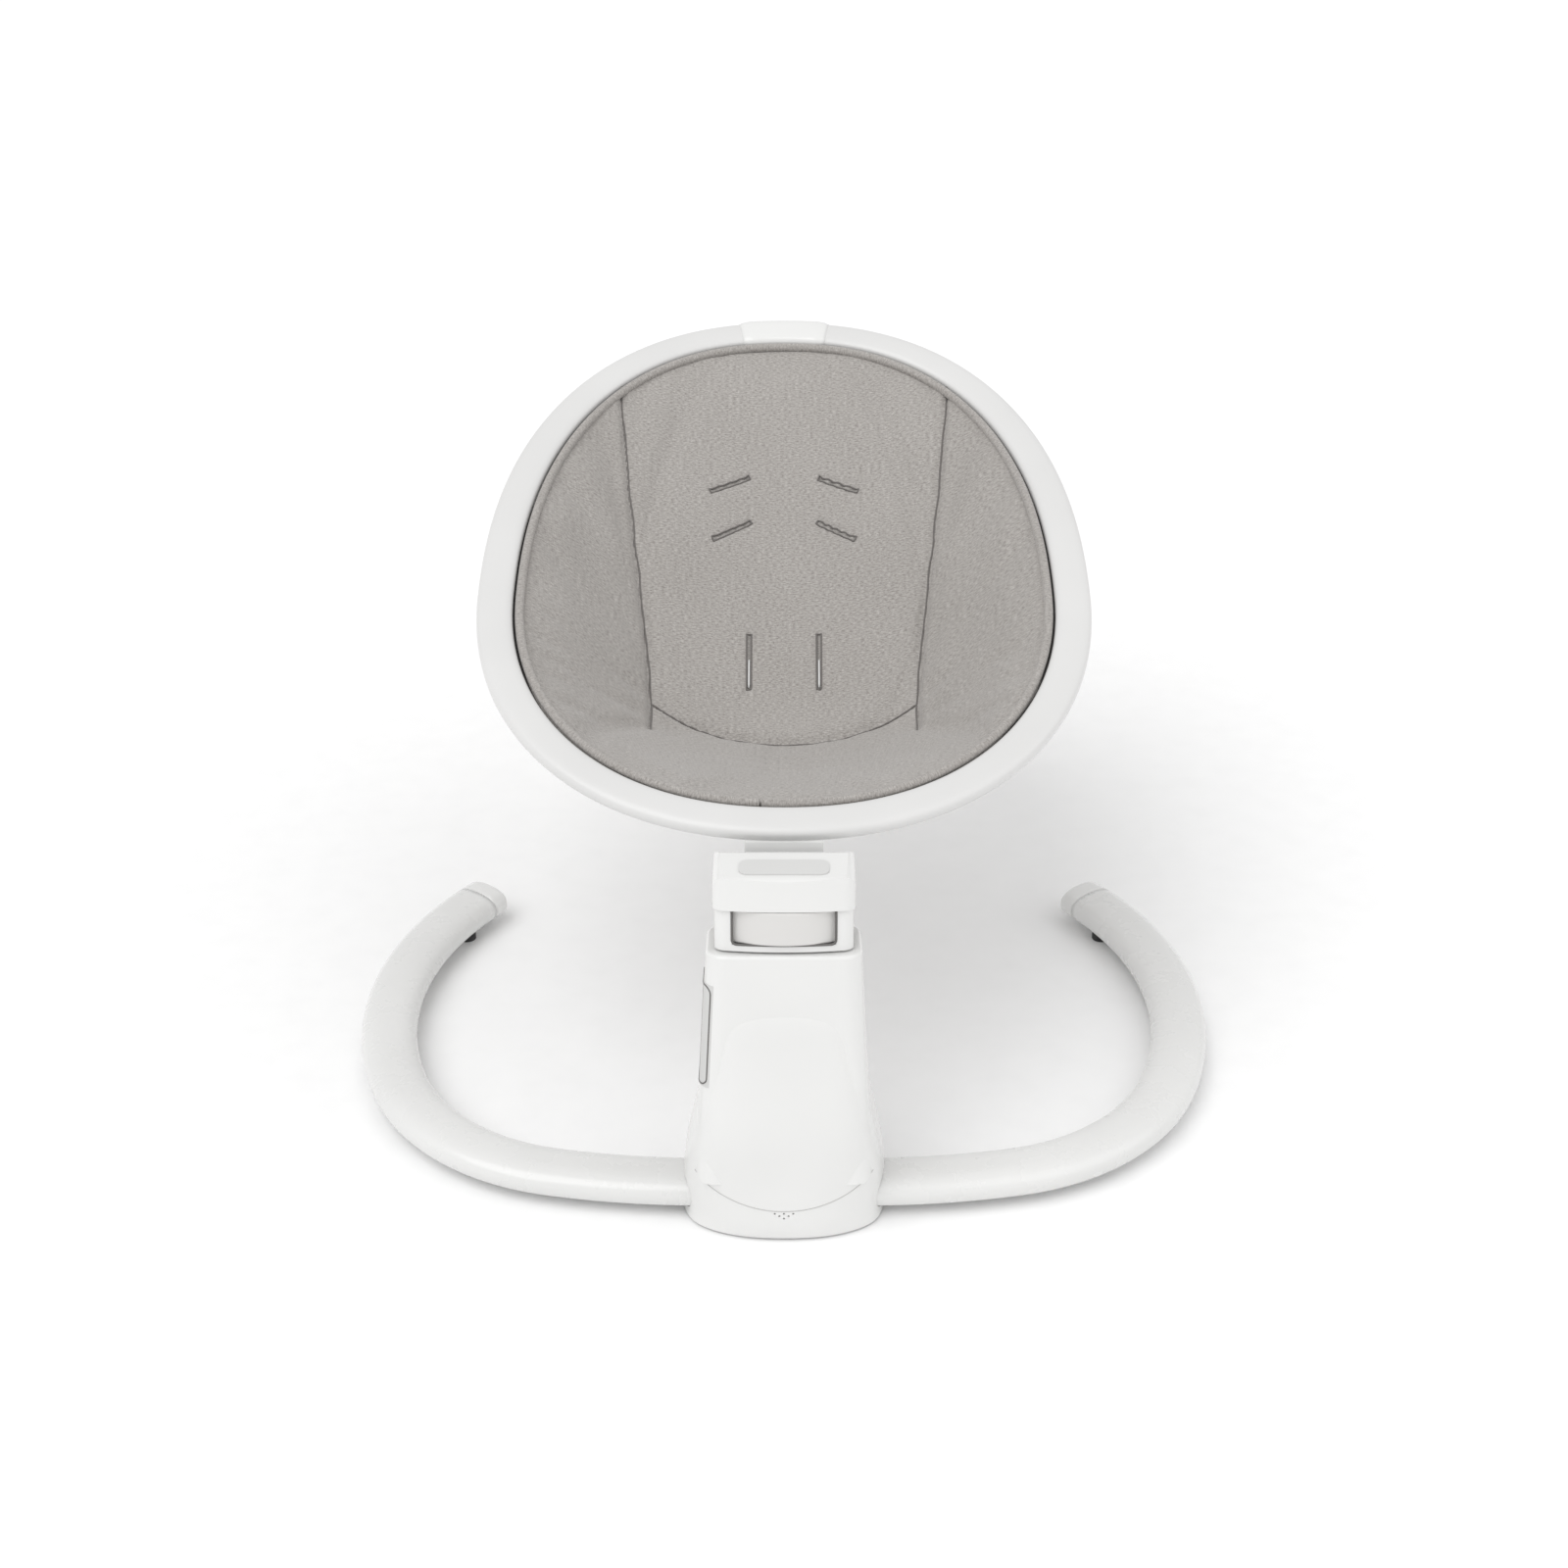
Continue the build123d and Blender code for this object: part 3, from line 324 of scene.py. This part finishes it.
def tube_mesh(name, rings, material, body, closed=False, capped=True):
    """Skins rings of points. UVs run around and along the tube, in metres."""
    sides = len(rings[0])
    vertices = [p for ring in rings for p in ring]
    along = [0.0]
    for a, b in zip(rings, rings[1:]):
        along.append(along[-1] + (b[0] - a[0]).length)
    girth = sum((rings[0][i] - rings[0][i - 1]).length for i in range(sides))
    uvs = [(girth * i / sides, along[k]) for k in range(len(rings)) for i in range(sides)]
    faces = []
    spans = len(rings) if closed else len(rings) - 1
    for k in range(spans):
        a, b = k * sides, (k + 1) % len(rings) * sides
        for i in range(sides):
            j = (i + 1) % sides
            faces.append((a + i, b + i, b + j, a + j))
    if capped and not closed:
        faces.append(tuple(range(sides)))
        faces.append(tuple(range(len(vertices) - 1, len(vertices) - sides - 1, -1)))
    return add_mesh(name, vertices, faces, material, body, uvs)


# ---- Seat hoop ----


def hoop_point(x, s, n=0.0):
    """A world point from the hoop's own plane."""
    c, i = cos(HOOP_RECLINE), sin(HOOP_RECLINE)
    return HOOP_CENTRE + Vector((x, s * c - n * i, s * i + n * c))


def hoop_outline(angle, inset):
    """A point of the hoop's outline, moved inwards, as (x, s)."""
    across, along = cos(angle), sin(angle)
    power = POWER_BACK if along > 0 else POWER_FRONT
    length = (HOOP_BACK if along > 0 else HOOP_FRONT) - inset
    width = HOOP_WIDTH - inset
    r = ((abs(across) / width) ** power + (abs(along) / length) ** power) ** (-1 / power)
    return r * across, r * along


def hoop_rings(section, inset, start, turn, count, lift=0.0, taper=None):
    """Rings of a tube that follows the hoop; taper(k) is how much ring k grows outwards."""
    rings = []
    for k in range(count):
        angle = start + turn * k / (count - 1 if turn < 2 * pi - 1e-6 else count)
        x, s = hoop_outline(angle, inset)
        x1, s1 = hoop_outline(angle + 0.002, inset)
        tangent = Vector((x1 - x, s1 - s)).normalized()
        out = Vector((tangent.y, -tangent.x))
        size = taper(k) if taper else 0.0
        ring = []
        for across, up in section:
            grow = 1 + size / (TUBE_HEIGHT / 2)
            a = across + (size if across > 0 else -size) if size else across
            ring.append(hoop_point(x + out.x * a, s + out.y * a, lift + up * grow))
        rings.append(ring)
    return rings


def make_hoop(materials):
    """The flat-oval hoop, and the sleeve with soft ends over its joint at the back."""
    section = squircle(TUBE_WIDTH, TUBE_HEIGHT, 2.9, 36)
    rings = hoop_rings(section, TUBE_WIDTH / 2, pi / 2, 2 * pi, 288)
    hoop = tube_mesh("seat_hoop_tube", rings, materials["hoop_white"], "seat", closed=True)
    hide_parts("seat_hoop")
    ends = {0: 0.0, 1: 0.0009, 2: 0.0014}
    count = 26
    rings = hoop_rings(
        squircle(TUBE_WIDTH, TUBE_HEIGHT, 3.2, 36),
        TUBE_WIDTH / 2,
        pi / 2 - SLEEVE_HALF_ANGLE,
        2 * SLEEVE_HALF_ANGLE,
        count,
        taper=lambda k: ends.get(min(k, count - 1 - k), SLEEVE_WALL),
    )
    sleeve = tube_mesh("hoop_sleeve_cover", rings, materials["white_gloss"], "seat")
    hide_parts("hoop_sleeve")


# ---- Floor legs ----


def leg_path(bends, start, heading, steps):
    """Points and headings along tangent arcs that bend to the left."""
    point, path = start.copy(), []
    for radius, turn in bends:
        count = max(3, int(steps * radians(turn)))
        for i in range(count):
            angle = radians(turn) / count
            path.append((point.copy(), heading))
            chord = 2 * radius * sin(angle / 2)
            point += Vector((cos(heading + angle / 2), sin(heading + angle / 2), 0)) * chord
            heading += angle
    path.append((point.copy(), heading))
    return path


def leg_rings(path, side, shrink=None, forward=None):
    """Rings of a floor leg; shrink(k) scales ring k and forward(k) moves it ahead."""
    section = squircle(LEG_WIDTH, LEG_HEIGHT, 2.5, 36)
    rings = []
    for k, (point, heading) in enumerate(path):
        out = Vector((sin(heading), -cos(heading), 0))
        ahead = Vector((cos(heading), sin(heading), 0)) * (forward(k) if forward else 0)
        size = shrink(k) if shrink else 1.0
        ring = []
        for across, up in section:
            p = point + ahead + out * (across * size) + Vector((0, 0, up * size))
            ring.append(Vector((side * p.x, p.y, p.z)))
        rings.append(ring if side > 0 else ring[::-1])
    return rings


def make_legs(materials):
    """Both floor legs with their domed end caps."""
    path = leg_path(LEG_BENDS, LEG_START, 0.0, LEG_STEPS)
    cap_path = leg_path((LEG_CAP_BEND,), path[-1][0], path[-1][1], LEG_STEPS)
    cap_path += [cap_path[-1]] * LEG_TIP_STEPS
    base = len(cap_path) - LEG_TIP_STEPS

    def over_dome(k):
        return max(0, k - base + 1) / LEG_TIP_STEPS

    def lip(k):
        if k == 0:
            return LEG_CAP_LIP
        t = over_dome(k)
        return sqrt(max(0.0, 1 - t * t)) * (1 - LEG_TIP_FLAT) + LEG_TIP_FLAT if t else 1.0

    def reach(k):
        return LEG_TIP_DOME * sin(over_dome(k) * pi / 2)

    for side, word in ((1, "right"), (-1, "left")):
        leg = tube_mesh(f"leg_{word}", leg_rings(path, side), materials["leg_white"], "base")
        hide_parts(f"leg_tube_{word}")
        cap_rings = leg_rings(cap_path, side, lip, reach)
        cap = tube_mesh(f"leg_cap_{word}", cap_rings, materials["white_gloss"], "base")
        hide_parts(f"leg_end_cap_{word}")


# ---- Seat bucket ----


def bucket_depth(x, s):
    """Depth of the bucket's inside under the rim: sloping back, front and sides, blended."""
    width = HOOP_WIDTH - RIM_INSET
    back = HOOP_BACK - RIM_INSET
    front = HOOP_FRONT - RIM_INSET
    a = min(abs(x) / width, 1.0)
    to_back = back * (1 - a**POWER_BACK) ** (1 / POWER_BACK) - s
    to_front = s + front * (1 - a**POWER_FRONT) ** (1 / POWER_FRONT)
    power = POWER_BACK if s > 0 else POWER_FRONT
    t = min(abs(s) / (back if s > 0 else front), 1.0)
    to_side = width * (1 - t**power) ** (1 / power) - abs(x)
    slopes = [SLOPE_BACK * to_back, SLOPE_FRONT * to_front, SLOPE_SIDE * to_side]
    if min(slopes) <= 1e-6:
        return 0.0
    return sum(d**-SMOOTH_MIN_POWER for d in slopes) ** (-1 / SMOOTH_MIN_POWER)


def polyline_distance(x, s, line):
    """Distance from a point to a mirrored seam line, both on the +x side."""
    best = 1.0
    p = Vector((abs(x), s))
    for a, b in zip(line, line[1:]):
        a, b = Vector(a), Vector(b)
        ab = b - a
        t = max(0.0, min(1.0, (p - a).dot(ab) / ab.length_squared))
        best = min(best, (p - a - ab * t).length)
    return best


def seam_distance(x, s):
    """Distance from a plan point to the nearest of the pad's seams."""
    return min(polyline_distance(x, s, SEAM_SIDE), polyline_distance(x, s, SEAM_LOW))


def disc_grid(cells):
    """A square grid bent onto the unit disc: no pole, and even cells."""
    grid = []
    for j in range(cells + 1):
        for i in range(cells + 1):
            u, v = 2 * i / cells - 1, 2 * j / cells - 1
            grid.append((u * sqrt(1 - v * v / 2), v * sqrt(1 - u * u / 2)))
    return grid


def bucket_plan(cells):
    """Plan points (x, s) of the bucket's surface, inside the hoop's oval."""
    plan = []
    half_width = hoop_outline(0.0, RIM_INSET)[0]
    for dx, dy in disc_grid(cells):
        r = hypot(dx, dy)
        if r < 1e-9:
            plan.append((0.0, 0.0))
            continue
        power = POWER_BACK if dy > 0 else POWER_FRONT
        length = (HOOP_BACK if dy > 0 else HOOP_FRONT) - RIM_INSET
        k = (abs(dx / r) ** power + abs(dy / r) ** power) ** (-1 / power)
        plan.append((dx * k * half_width, dy * k * length))
    return plan


def bucket_mesh(materials):
    """A closed pad: the inside surface, and the outside surface one thickness below."""
    cells = CLOTH_CELLS
    plan = bucket_plan(cells)
    count = len(plan)
    top = [hoop_point(x, s, 0.001 - bucket_depth(x, s)) for x, s in plan]
    row = cells + 1
    corners = [j * row + i for j in range(cells) for i in range(cells)]
    quads = [(v, v + 1, v + row + 1, v + row) for v in corners]
    normals = [Vector() for _ in top]
    for quad in quads:
        normal = (top[quad[2]] - top[quad[0]]).cross(top[quad[3]] - top[quad[1]])
        for v in quad:
            normals[v] += normal
    bottom = [p - n.normalized() * FABRIC_THICKNESS for p, n in zip(top, normals)]
    edge = list(range(row))
    edge += [j * row + cells for j in range(1, row)]
    edge += [cells * row + i for i in range(cells - 1, -1, -1)]
    edge += [j * row for j in range(cells - 1, 0, -1)]
    faces = quads + [tuple(v + count for v in reversed(q)) for q in quads]
    for a, b in zip(edge, edge[1:] + edge[:1]):
        faces.append((b, a, a + count, b + count))
    uvs = [(x, s) for x, s in plan] * 2
    pad = add_mesh("seat_pad", top + bottom, faces, materials["heather_fabric"], "seat", uvs)
    pins = pad.vertex_groups.new(name="pins")
    for v in edge:
        pins.add([v, v + count], 1.0, "REPLACE")
    for v, (x, s) in enumerate(plan):
        if seam_distance(x, s) < PIN_REACH:
            pins.add([v, v + count], 1.0, "REPLACE")
    return pad


def puff(pad):
    """Inflates the pad between its pinned seams with a short cloth simulation."""
    rest = [v.co.copy() for v in pad.data.vertices]
    cloth = pad.modifiers.new("cloth", "CLOTH")
    settings = cloth.settings
    settings.quality = 6
    settings.mass = 0.3
    settings.use_pressure = True
    settings.uniform_pressure_force = CLOTH_PRESSURE
    settings.tension_stiffness = 12
    settings.compression_stiffness = 12
    settings.shear_stiffness = 6
    settings.bending_stiffness = 1.5
    settings.vertex_group_mass = "pins"
    settings.effector_weights.gravity = 0
    cloth.collision_settings.use_collision = False
    cloth.point_cache.frame_start = 1
    cloth.point_cache.frame_end = CLOTH_FRAMES
    for number in range(1, CLOTH_FRAMES + 1):
        scene.frame_set(number)
    graph = bpy.context.evaluated_depsgraph_get()
    shaped = pad.evaluated_get(graph).to_mesh()
    moved = [v.co.copy() for v in shaped.vertices]
    pad.evaluated_get(graph).to_mesh_clear()
    pad.modifiers.remove(cloth)
    scene.frame_set(1)
    for vertex, start, end in zip(pad.data.vertices, rest, moved):
        step = end - start
        if step.length > PUFF_CAP:
            step *= PUFF_CAP / step.length
        vertex.co = start + step


def to_plan(point):
    """A world point as (x, s) in the hoop's plane."""
    q = point - HOOP_CENTRE
    return q.x, q.y * cos(HOOP_RECLINE) + q.z * sin(HOOP_RECLINE)


def bell(distance, width):
    return exp(-((distance / width) ** 2))


def stitched(near, valley, valley_width, ridge, ridge_place, ridge_width):
    """A stitched line's profile: a valley, and a soft ridge beside it."""
    return -valley * bell(near, valley_width) + ridge * bell(near - ridge_place, ridge_width)


def fabric_relief(x, s, point):
    """How far the sewn detail moves a point of the inside surface along its normal."""
    move = stitched(seam_distance(x, s), *SEAM_RELIEF)
    for line in SLOTS:
        move += stitched(polyline_distance(x, s, line), *SLOT_RELIEF)
    end_x, end_s = SLOTS[2][1]
    crease = ((end_x, end_s), (end_x + WAIST_CREASE_TO[0], end_s + WAIST_CREASE_TO[1]))
    move += -WAIST_CREASE_DEPTH * bell(polyline_distance(x, s, crease), WAIST_CREASE_WIDTH)
    if s < LAP_FOLDS_FROM:
        for offset, tilt in LAP_FOLDS:
            fold = bell(s - (offset + tilt * x), LAP_FOLD_WIDTH) * bell(x - LAP_FOLD_MIDDLE, LAP_FOLD_REACH)
            move -= LAP_FOLD_DEPTH * fold
    move += 0.0011 * noise.noise(point * 14) + 0.0004 * noise.noise(point * 45)
    return move


def sew(pad):
    """Presses the seams, slots and small wrinkles into the pad after it is puffed."""
    subdivide(pad, 1)
    mesh = pad.data
    normals = [v.normal.copy() for v in mesh.vertices]
    up = hoop_point(0, 0, 1) - HOOP_CENTRE
    for vertex, normal in zip(mesh.vertices, normals):
        x, s = to_plan(vertex.co)
        if normal.dot(up) > 0.15:
            vertex.co += normal * fabric_relief(x, s, vertex.co)
        else:
            seam = -OUTER_SEAM_DEPTH * bell(seam_distance(x, s), OUTER_SEAM_WIDTH)
            vertex.co += normal * (seam + 0.0012 * noise.noise(vertex.co * 12))


def subdivide(piece, levels):
    """Smooths a piece's mesh and keeps the finer mesh."""
    modifier = piece.modifiers.new("smooth", "SUBSURF")
    modifier.levels = levels
    modifier.render_levels = levels
    graph = bpy.context.evaluated_depsgraph_get()
    mesh = bpy.data.meshes.new_from_object(piece.evaluated_get(graph))
    piece.modifiers.remove(modifier)
    piece.data = mesh


def make_bucket(materials):
    """The padded fabric bucket."""
    pad = bucket_mesh(materials)
    puff(pad)
    sew(pad)
    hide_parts("seat_fabric")
    return pad


def make_piping(materials):
    """The rolled binding around the rim, with a butt joint near the front, and a dark strip under it that
    paints the shade in the gap between hoop and piping.
    """
    section = squircle(2 * PIPING_RADIUS, 2 * PIPING_RADIUS, 2.0, 14)
    joint = radians(266)
    rings = hoop_rings(section, RIM_INSET, joint, 2 * pi - 0.006, 420, lift=0.0014)
    piping = tube_mesh("rim_piping", rings, materials["heather_fabric"], "seat")
    # Painted shade: a dark strip below the gap between the hoop and the piping, where the seat shows only
    # shadow.
    gap_shade_width = PIPING_GAP + 0.004
    gap_shade_section = squircle(gap_shade_width, 0.0022, 4.0, 12)
    rings = hoop_rings(gap_shade_section, TUBE_WIDTH - 0.0005 + gap_shade_width / 2, 0, 2 * pi, 240, lift=-0.0030)
    gap_shade_strip = tube_mesh("rim_gap_shade", rings, materials["gap_shade_dark"], "seat", closed=True)


def surface_hit(tree, x, s, lift):
    """The point of the finished pad's inside above a plan point, lifted along the hoop's normal."""
    up = hoop_point(0, 0, 1) - HOOP_CENTRE
    hit = tree.ray_cast(hoop_point(x, s, 0.08), -up)[0]
    if hit is None:
        hit = hoop_point(x, s, 0.001 - bucket_depth(x, s))
    return hit + up * lift


def dense_line(points, step=0.003, wander=0.0):
    """Resamples a plan polyline, rounding its corners a little and letting it wander like a sewn seam."""
    dense = []
    for a, b in zip(points, points[1:]):
        a, b = Vector(a), Vector(b)
        count = max(1, round((b - a).length / step))
        dense += [a.lerp(b, i / count) for i in range(count)]
    dense.append(Vector(points[-1]))
    for _ in range(3):
        middle = [(p + 2 * q + r) / 4 for p, q, r in zip(dense, dense[1:], dense[2:])]
        dense = [dense[0], *middle, dense[-1]]
    return [p + Vector((wander * noise.noise(Vector((p.x, p.y, 0)) * 40), 0)) for p in dense]


def cord_mesh(name, points, radius, material, body, closed=False, up=Vector((0, 0, 1))):
    """A thin round cord through 3-D points."""
    rings = []
    last = len(points) - 1
    for k, point in enumerate(points):
        before = points[k - 1] if k or closed else point
        after = points[(k + 1) % len(points)] if k < last or closed else point
        along = (after - before).normalized()
        side = along.cross(up).normalized()
        rise = along.cross(side)
        ring = [point + (side * cos(a) + rise * sin(a)) * radius for a in (2 * pi * i / 8 for i in range(8))]
        rings.append(ring)
    return tube_mesh(name, rings, material, body, closed)


def slot_loop(line):
    """A slot's outline in plan: a thin slanted rectangle around its middle line."""
    a, b = Vector(line[0]), Vector(line[1])
    along = (b - a).normalized() * 0.0012
    across = Vector((-along.y, along.x)).normalized() * SLOT_HALF_WIDTH
    corners = [a - along - across, b + along - across, b + along + across, a - along + across]
    loop = []
    for p, q in zip(corners, corners[1:] + corners[:1]):
        count = max(2, round((q - p).length / 0.002))
        loop += [p.lerp(q, i / count) for i in range(count)]
    return loop


def make_sewing(pad, materials):
    """Dark cords on the seams and around the harness slots, for stitching thread and painted shade in the
    seam valleys and slot openings, and the frame seen through the waist slots.
    """
    tree = BVHTree.FromObject(pad, bpy.context.evaluated_depsgraph_get())
    thread_shade_material = materials["seam_thread_and_shade"]
    names = ("upper", "lower", "waist")
    for side, word in ((1, "right"), (-1, "left")):
        line = [surface_hit(tree, side * p.x, p.y, 0.0001) for p in dense_line(SEAM_SIDE, wander=SEAM_WANDER)]
        seam = cord_mesh(f"side_seam_{word}", line, THREAD_RADIUS, thread_shade_material, "seat")
        for name, slot in zip(names, SLOTS):
            edge = [surface_hit(tree, side * p.x, p.y, 0.0004) for p in slot_loop(slot)]
            stitch_and_shade = cord_mesh(f"slot_edge_{name}_{word}", edge, THREAD_RADIUS, thread_shade_material, "seat", closed=True)
        low = SLOTS[2][1]
        strip = [Vector((low[0], low[1] + 0.001)), Vector((low[0], low[1] + 0.024))]
        line = [surface_hit(tree, side * p.x, p.y, 0.0006) for p in dense_line(strip)]
        shown = cord_mesh(f"frame_in_slot_{word}", line, 0.0009, materials["hoop_white"], "seat")
    full = [(-x, s) for x, s in SEAM_LOW] + list(reversed(SEAM_LOW))[1:]
    line = [surface_hit(tree, p.x, p.y, 0.0003) for p in dense_line(full, step=0.002)]
    cord_mesh("low_seam", line, LOW_THREAD_RADIUS, thread_shade_material, "seat")


# ---- Trim on the column and the head ----


def lean_point(x, y, h):
    """A world point from the leaning column's frame: x across, y to the back, h along the axis."""
    c, i = cos(COLUMN_LEAN), sin(COLUMN_LEAN)
    return Vector((x, AXIS_BACK + y * c + h * i, h * c - y * i))


def cast(trees, start, direction):
    """The nearest point that a ray meets on any of the trees."""
    hits = [tree.ray_cast(start, direction) for tree in trees]
    hits = [(hit[3], hit[0]) for hit in hits if hit[0] is not None]
    return min(hits, key=lambda hit: hit[0])[1] if hits else None


def rounded_path(left, right, low, high, radius):
    """A rectangle's outline with round corners, as closed (across, up) points."""
    points = []
    for cx, cy, start in (
        (right - radius, high - radius, 0),
        (left + radius, high - radius, 90),
        (left + radius, low + radius, 180),
        (right - radius, low + radius, 270),
    ):
        for k in range(7):
            angle = radians(start + 15 * k)
            points.append((cx + radius * cos(angle), cy + radius * sin(angle)))
    filled = []
    for p, q in zip(points, points[1:] + points[:1]):
        p, q = Vector(p), Vector(q)
        count = max(1, round((q - p).length / 0.003))
        filled += [p.lerp(q, k / count) for k in range(count)]
    return filled


def make_trim(materials):
    """Painted shade along the foot's seam and in the gap around the recline button, and the label's dark
    border.
    """
    graph = bpy.context.evaluated_depsgraph_get()
    pan = BVHTree.FromObject(nodes["foot_pan"], graph)
    # Painted shade: a grey cord along the foot's seam, where the cover's step casts a thin shadow.
    seam = []
    for k in range(-SEAM_HALF_MM, SEAM_HALF_MM + 1, 2):
        x = k * MM
        z = SEAM_LOW_POINT + SEAM_RADIUS - sqrt(SEAM_RADIUS**2 - x * x)
        hit = cast([pan], Vector((x, -0.3, z - 0.0006)), Vector((0, 1, 0)))
        if hit:
            seam.append(hit)
    line = cord_mesh("foot_seam_shade", seam, SEAM_CORD, materials["seam_shade_grey"], "base")

    front, back, low, high = LABEL_EDGES
    around = ("blank_label", "column_front_shell", "column_rear_shell")
    trees = [BVHTree.FromObject(nodes[name], graph) for name in around]
    inward = lean_point(1, 0, 0) - lean_point(0, 0, 0)
    outline = rounded_path(front, back, low, high, LABEL_CORNER)
    border = [cast(trees, lean_point(-0.09, p.x, p.y), inward) for p in outline]
    if all(border):
        line = cord_mesh("label_border", border, LABEL_CORD, materials["shade_and_border_dark"], "base", closed=True)

    # Painted shade: a dark cord along the recline button's outline, where the gap around the button falls
    # into shadow.
    edge = BUTTON_EDGE_X
    corner = BUTTON_CORNER
    path = [(-edge, BUTTON_TOP - 0.0006 - k * GAP_STEP) for k in range(9)]
    for k in range(7):
        angle = radians(180 + 15 * k)
        path.append((-edge + corner + corner * cos(angle), BUTTON_BOTTOM + corner + corner * sin(angle)))
    path += [(k * GAP_STEP, BUTTON_BOTTOM) for k in range(-15, 1)]
    path += [(-x, h) for x, h in reversed(path[:-1])]
    rim = []
    for x, h in path:
        y = -HEAD_FRONT + HEAD_SAG * (x / HEAD_HALF_WIDTH) ** 2
        rim.append(lean_point(x, y - 0.0001, h))
    line = cord_mesh("button_gap_shade", rim, GAP_CORD, materials["shade_and_border_dark"], "head")


def spring_points(start, along, length):
    """The middle line of a coil spring's wire, from a start point along a unit direction."""
    across = Vector((1, 0, 0))
    rise = along.cross(across)
    points = []
    for k in range(SPRING_TURNS * SPRING_STEPS + 1):
        angle = 2 * pi * k / SPRING_STEPS
        way = SPRING_WIRE + (length - 2 * SPRING_WIRE) * k / (SPRING_TURNS * SPRING_STEPS)
        out = (across * cos(angle) + rise * sin(angle)) * (SPRING_RADIUS - SPRING_WIRE)
        points.append(start + along * way + out)
    return points


def make_springs(materials):
    """The button's and the latch's return springs."""
    origin = lean_point(0, 0, 0)
    directions = {"back": lean_point(0, 1, 0) - origin, "up": lean_point(0, 0, 1) - origin}
    for group, x, start, direction, length, anchor, keep in SPRING_PAIRS:
        along = directions[direction]
        for side, word in ((1, "right"), (-1, "left")):
            points = spring_points(lean_point(side * x, *start), along, length)
            spring = cord_mesh(f"{group}_{word}", points, SPRING_WIRE, materials["steel"], "head", up=along)
            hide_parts(group)
            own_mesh(spring)


# ---- Studio ----


def make_stage():
    """A wide white floor."""
    mesh = bpy.data.meshes.new("floor")
    size = 40.0
    corners = [(-size, -size, 0), (size, -size, 0), (size, size, 0), (-size, size, 0)]
    mesh.from_pydata(corners, [], [(0, 1, 2, 3)])
    floor = bpy.data.objects.new("floor", mesh)
    scene.collection.objects.link(floor)
    paper = Shader("floor_paper", Roughness=0.9)
    grain = paper.noise(paper.coordinates(), 40.0)
    white = paper.ramp(grain, (0.93, 0.93, 0.93), (0.95, 0.95, 0.95))
    mesh.materials.append(paper.surface(Base_Color=white))


def sun(name, place, strength, spread):
    """A soft sun that shines from a place towards the origin; spread is its angle in degrees."""
    data = bpy.data.lights.new(name, "SUN")
    data.energy = strength
    data.angle = radians(spread)
    light = bpy.data.objects.new(name, data)
    light.rotation_euler = (-Vector(place)).to_track_quat("-Z", "Y").to_euler()
    scene.collection.objects.link(light)


def make_lights():
    """An even white world, a key from the front left and a weaker fill from the right."""
    world = bpy.data.worlds.new("studio")
    world.use_nodes = True
    background = world.node_tree.nodes["Background"]
    background.inputs["Color"].default_value = (1, 1, 1, 1)
    background.inputs["Strength"].default_value = 0.72
    scene.world = world
    sun("key", place=(-0.9, -0.8, 1.9), strength=1.15, spread=50)
    sun("fill", place=(1.2, -0.5, 1.4), strength=0.45, spread=60)


make_camera()
materials = make_materials()
dress_cad_nodes(materials)
make_hoop(materials)
make_legs(materials)
pad = make_bucket(materials)
make_piping(materials)
make_sewing(pad, materials)
make_trim(materials)
make_springs(materials)
make_stage()
make_lights()
scene.view_settings.view_transform = "Standard"
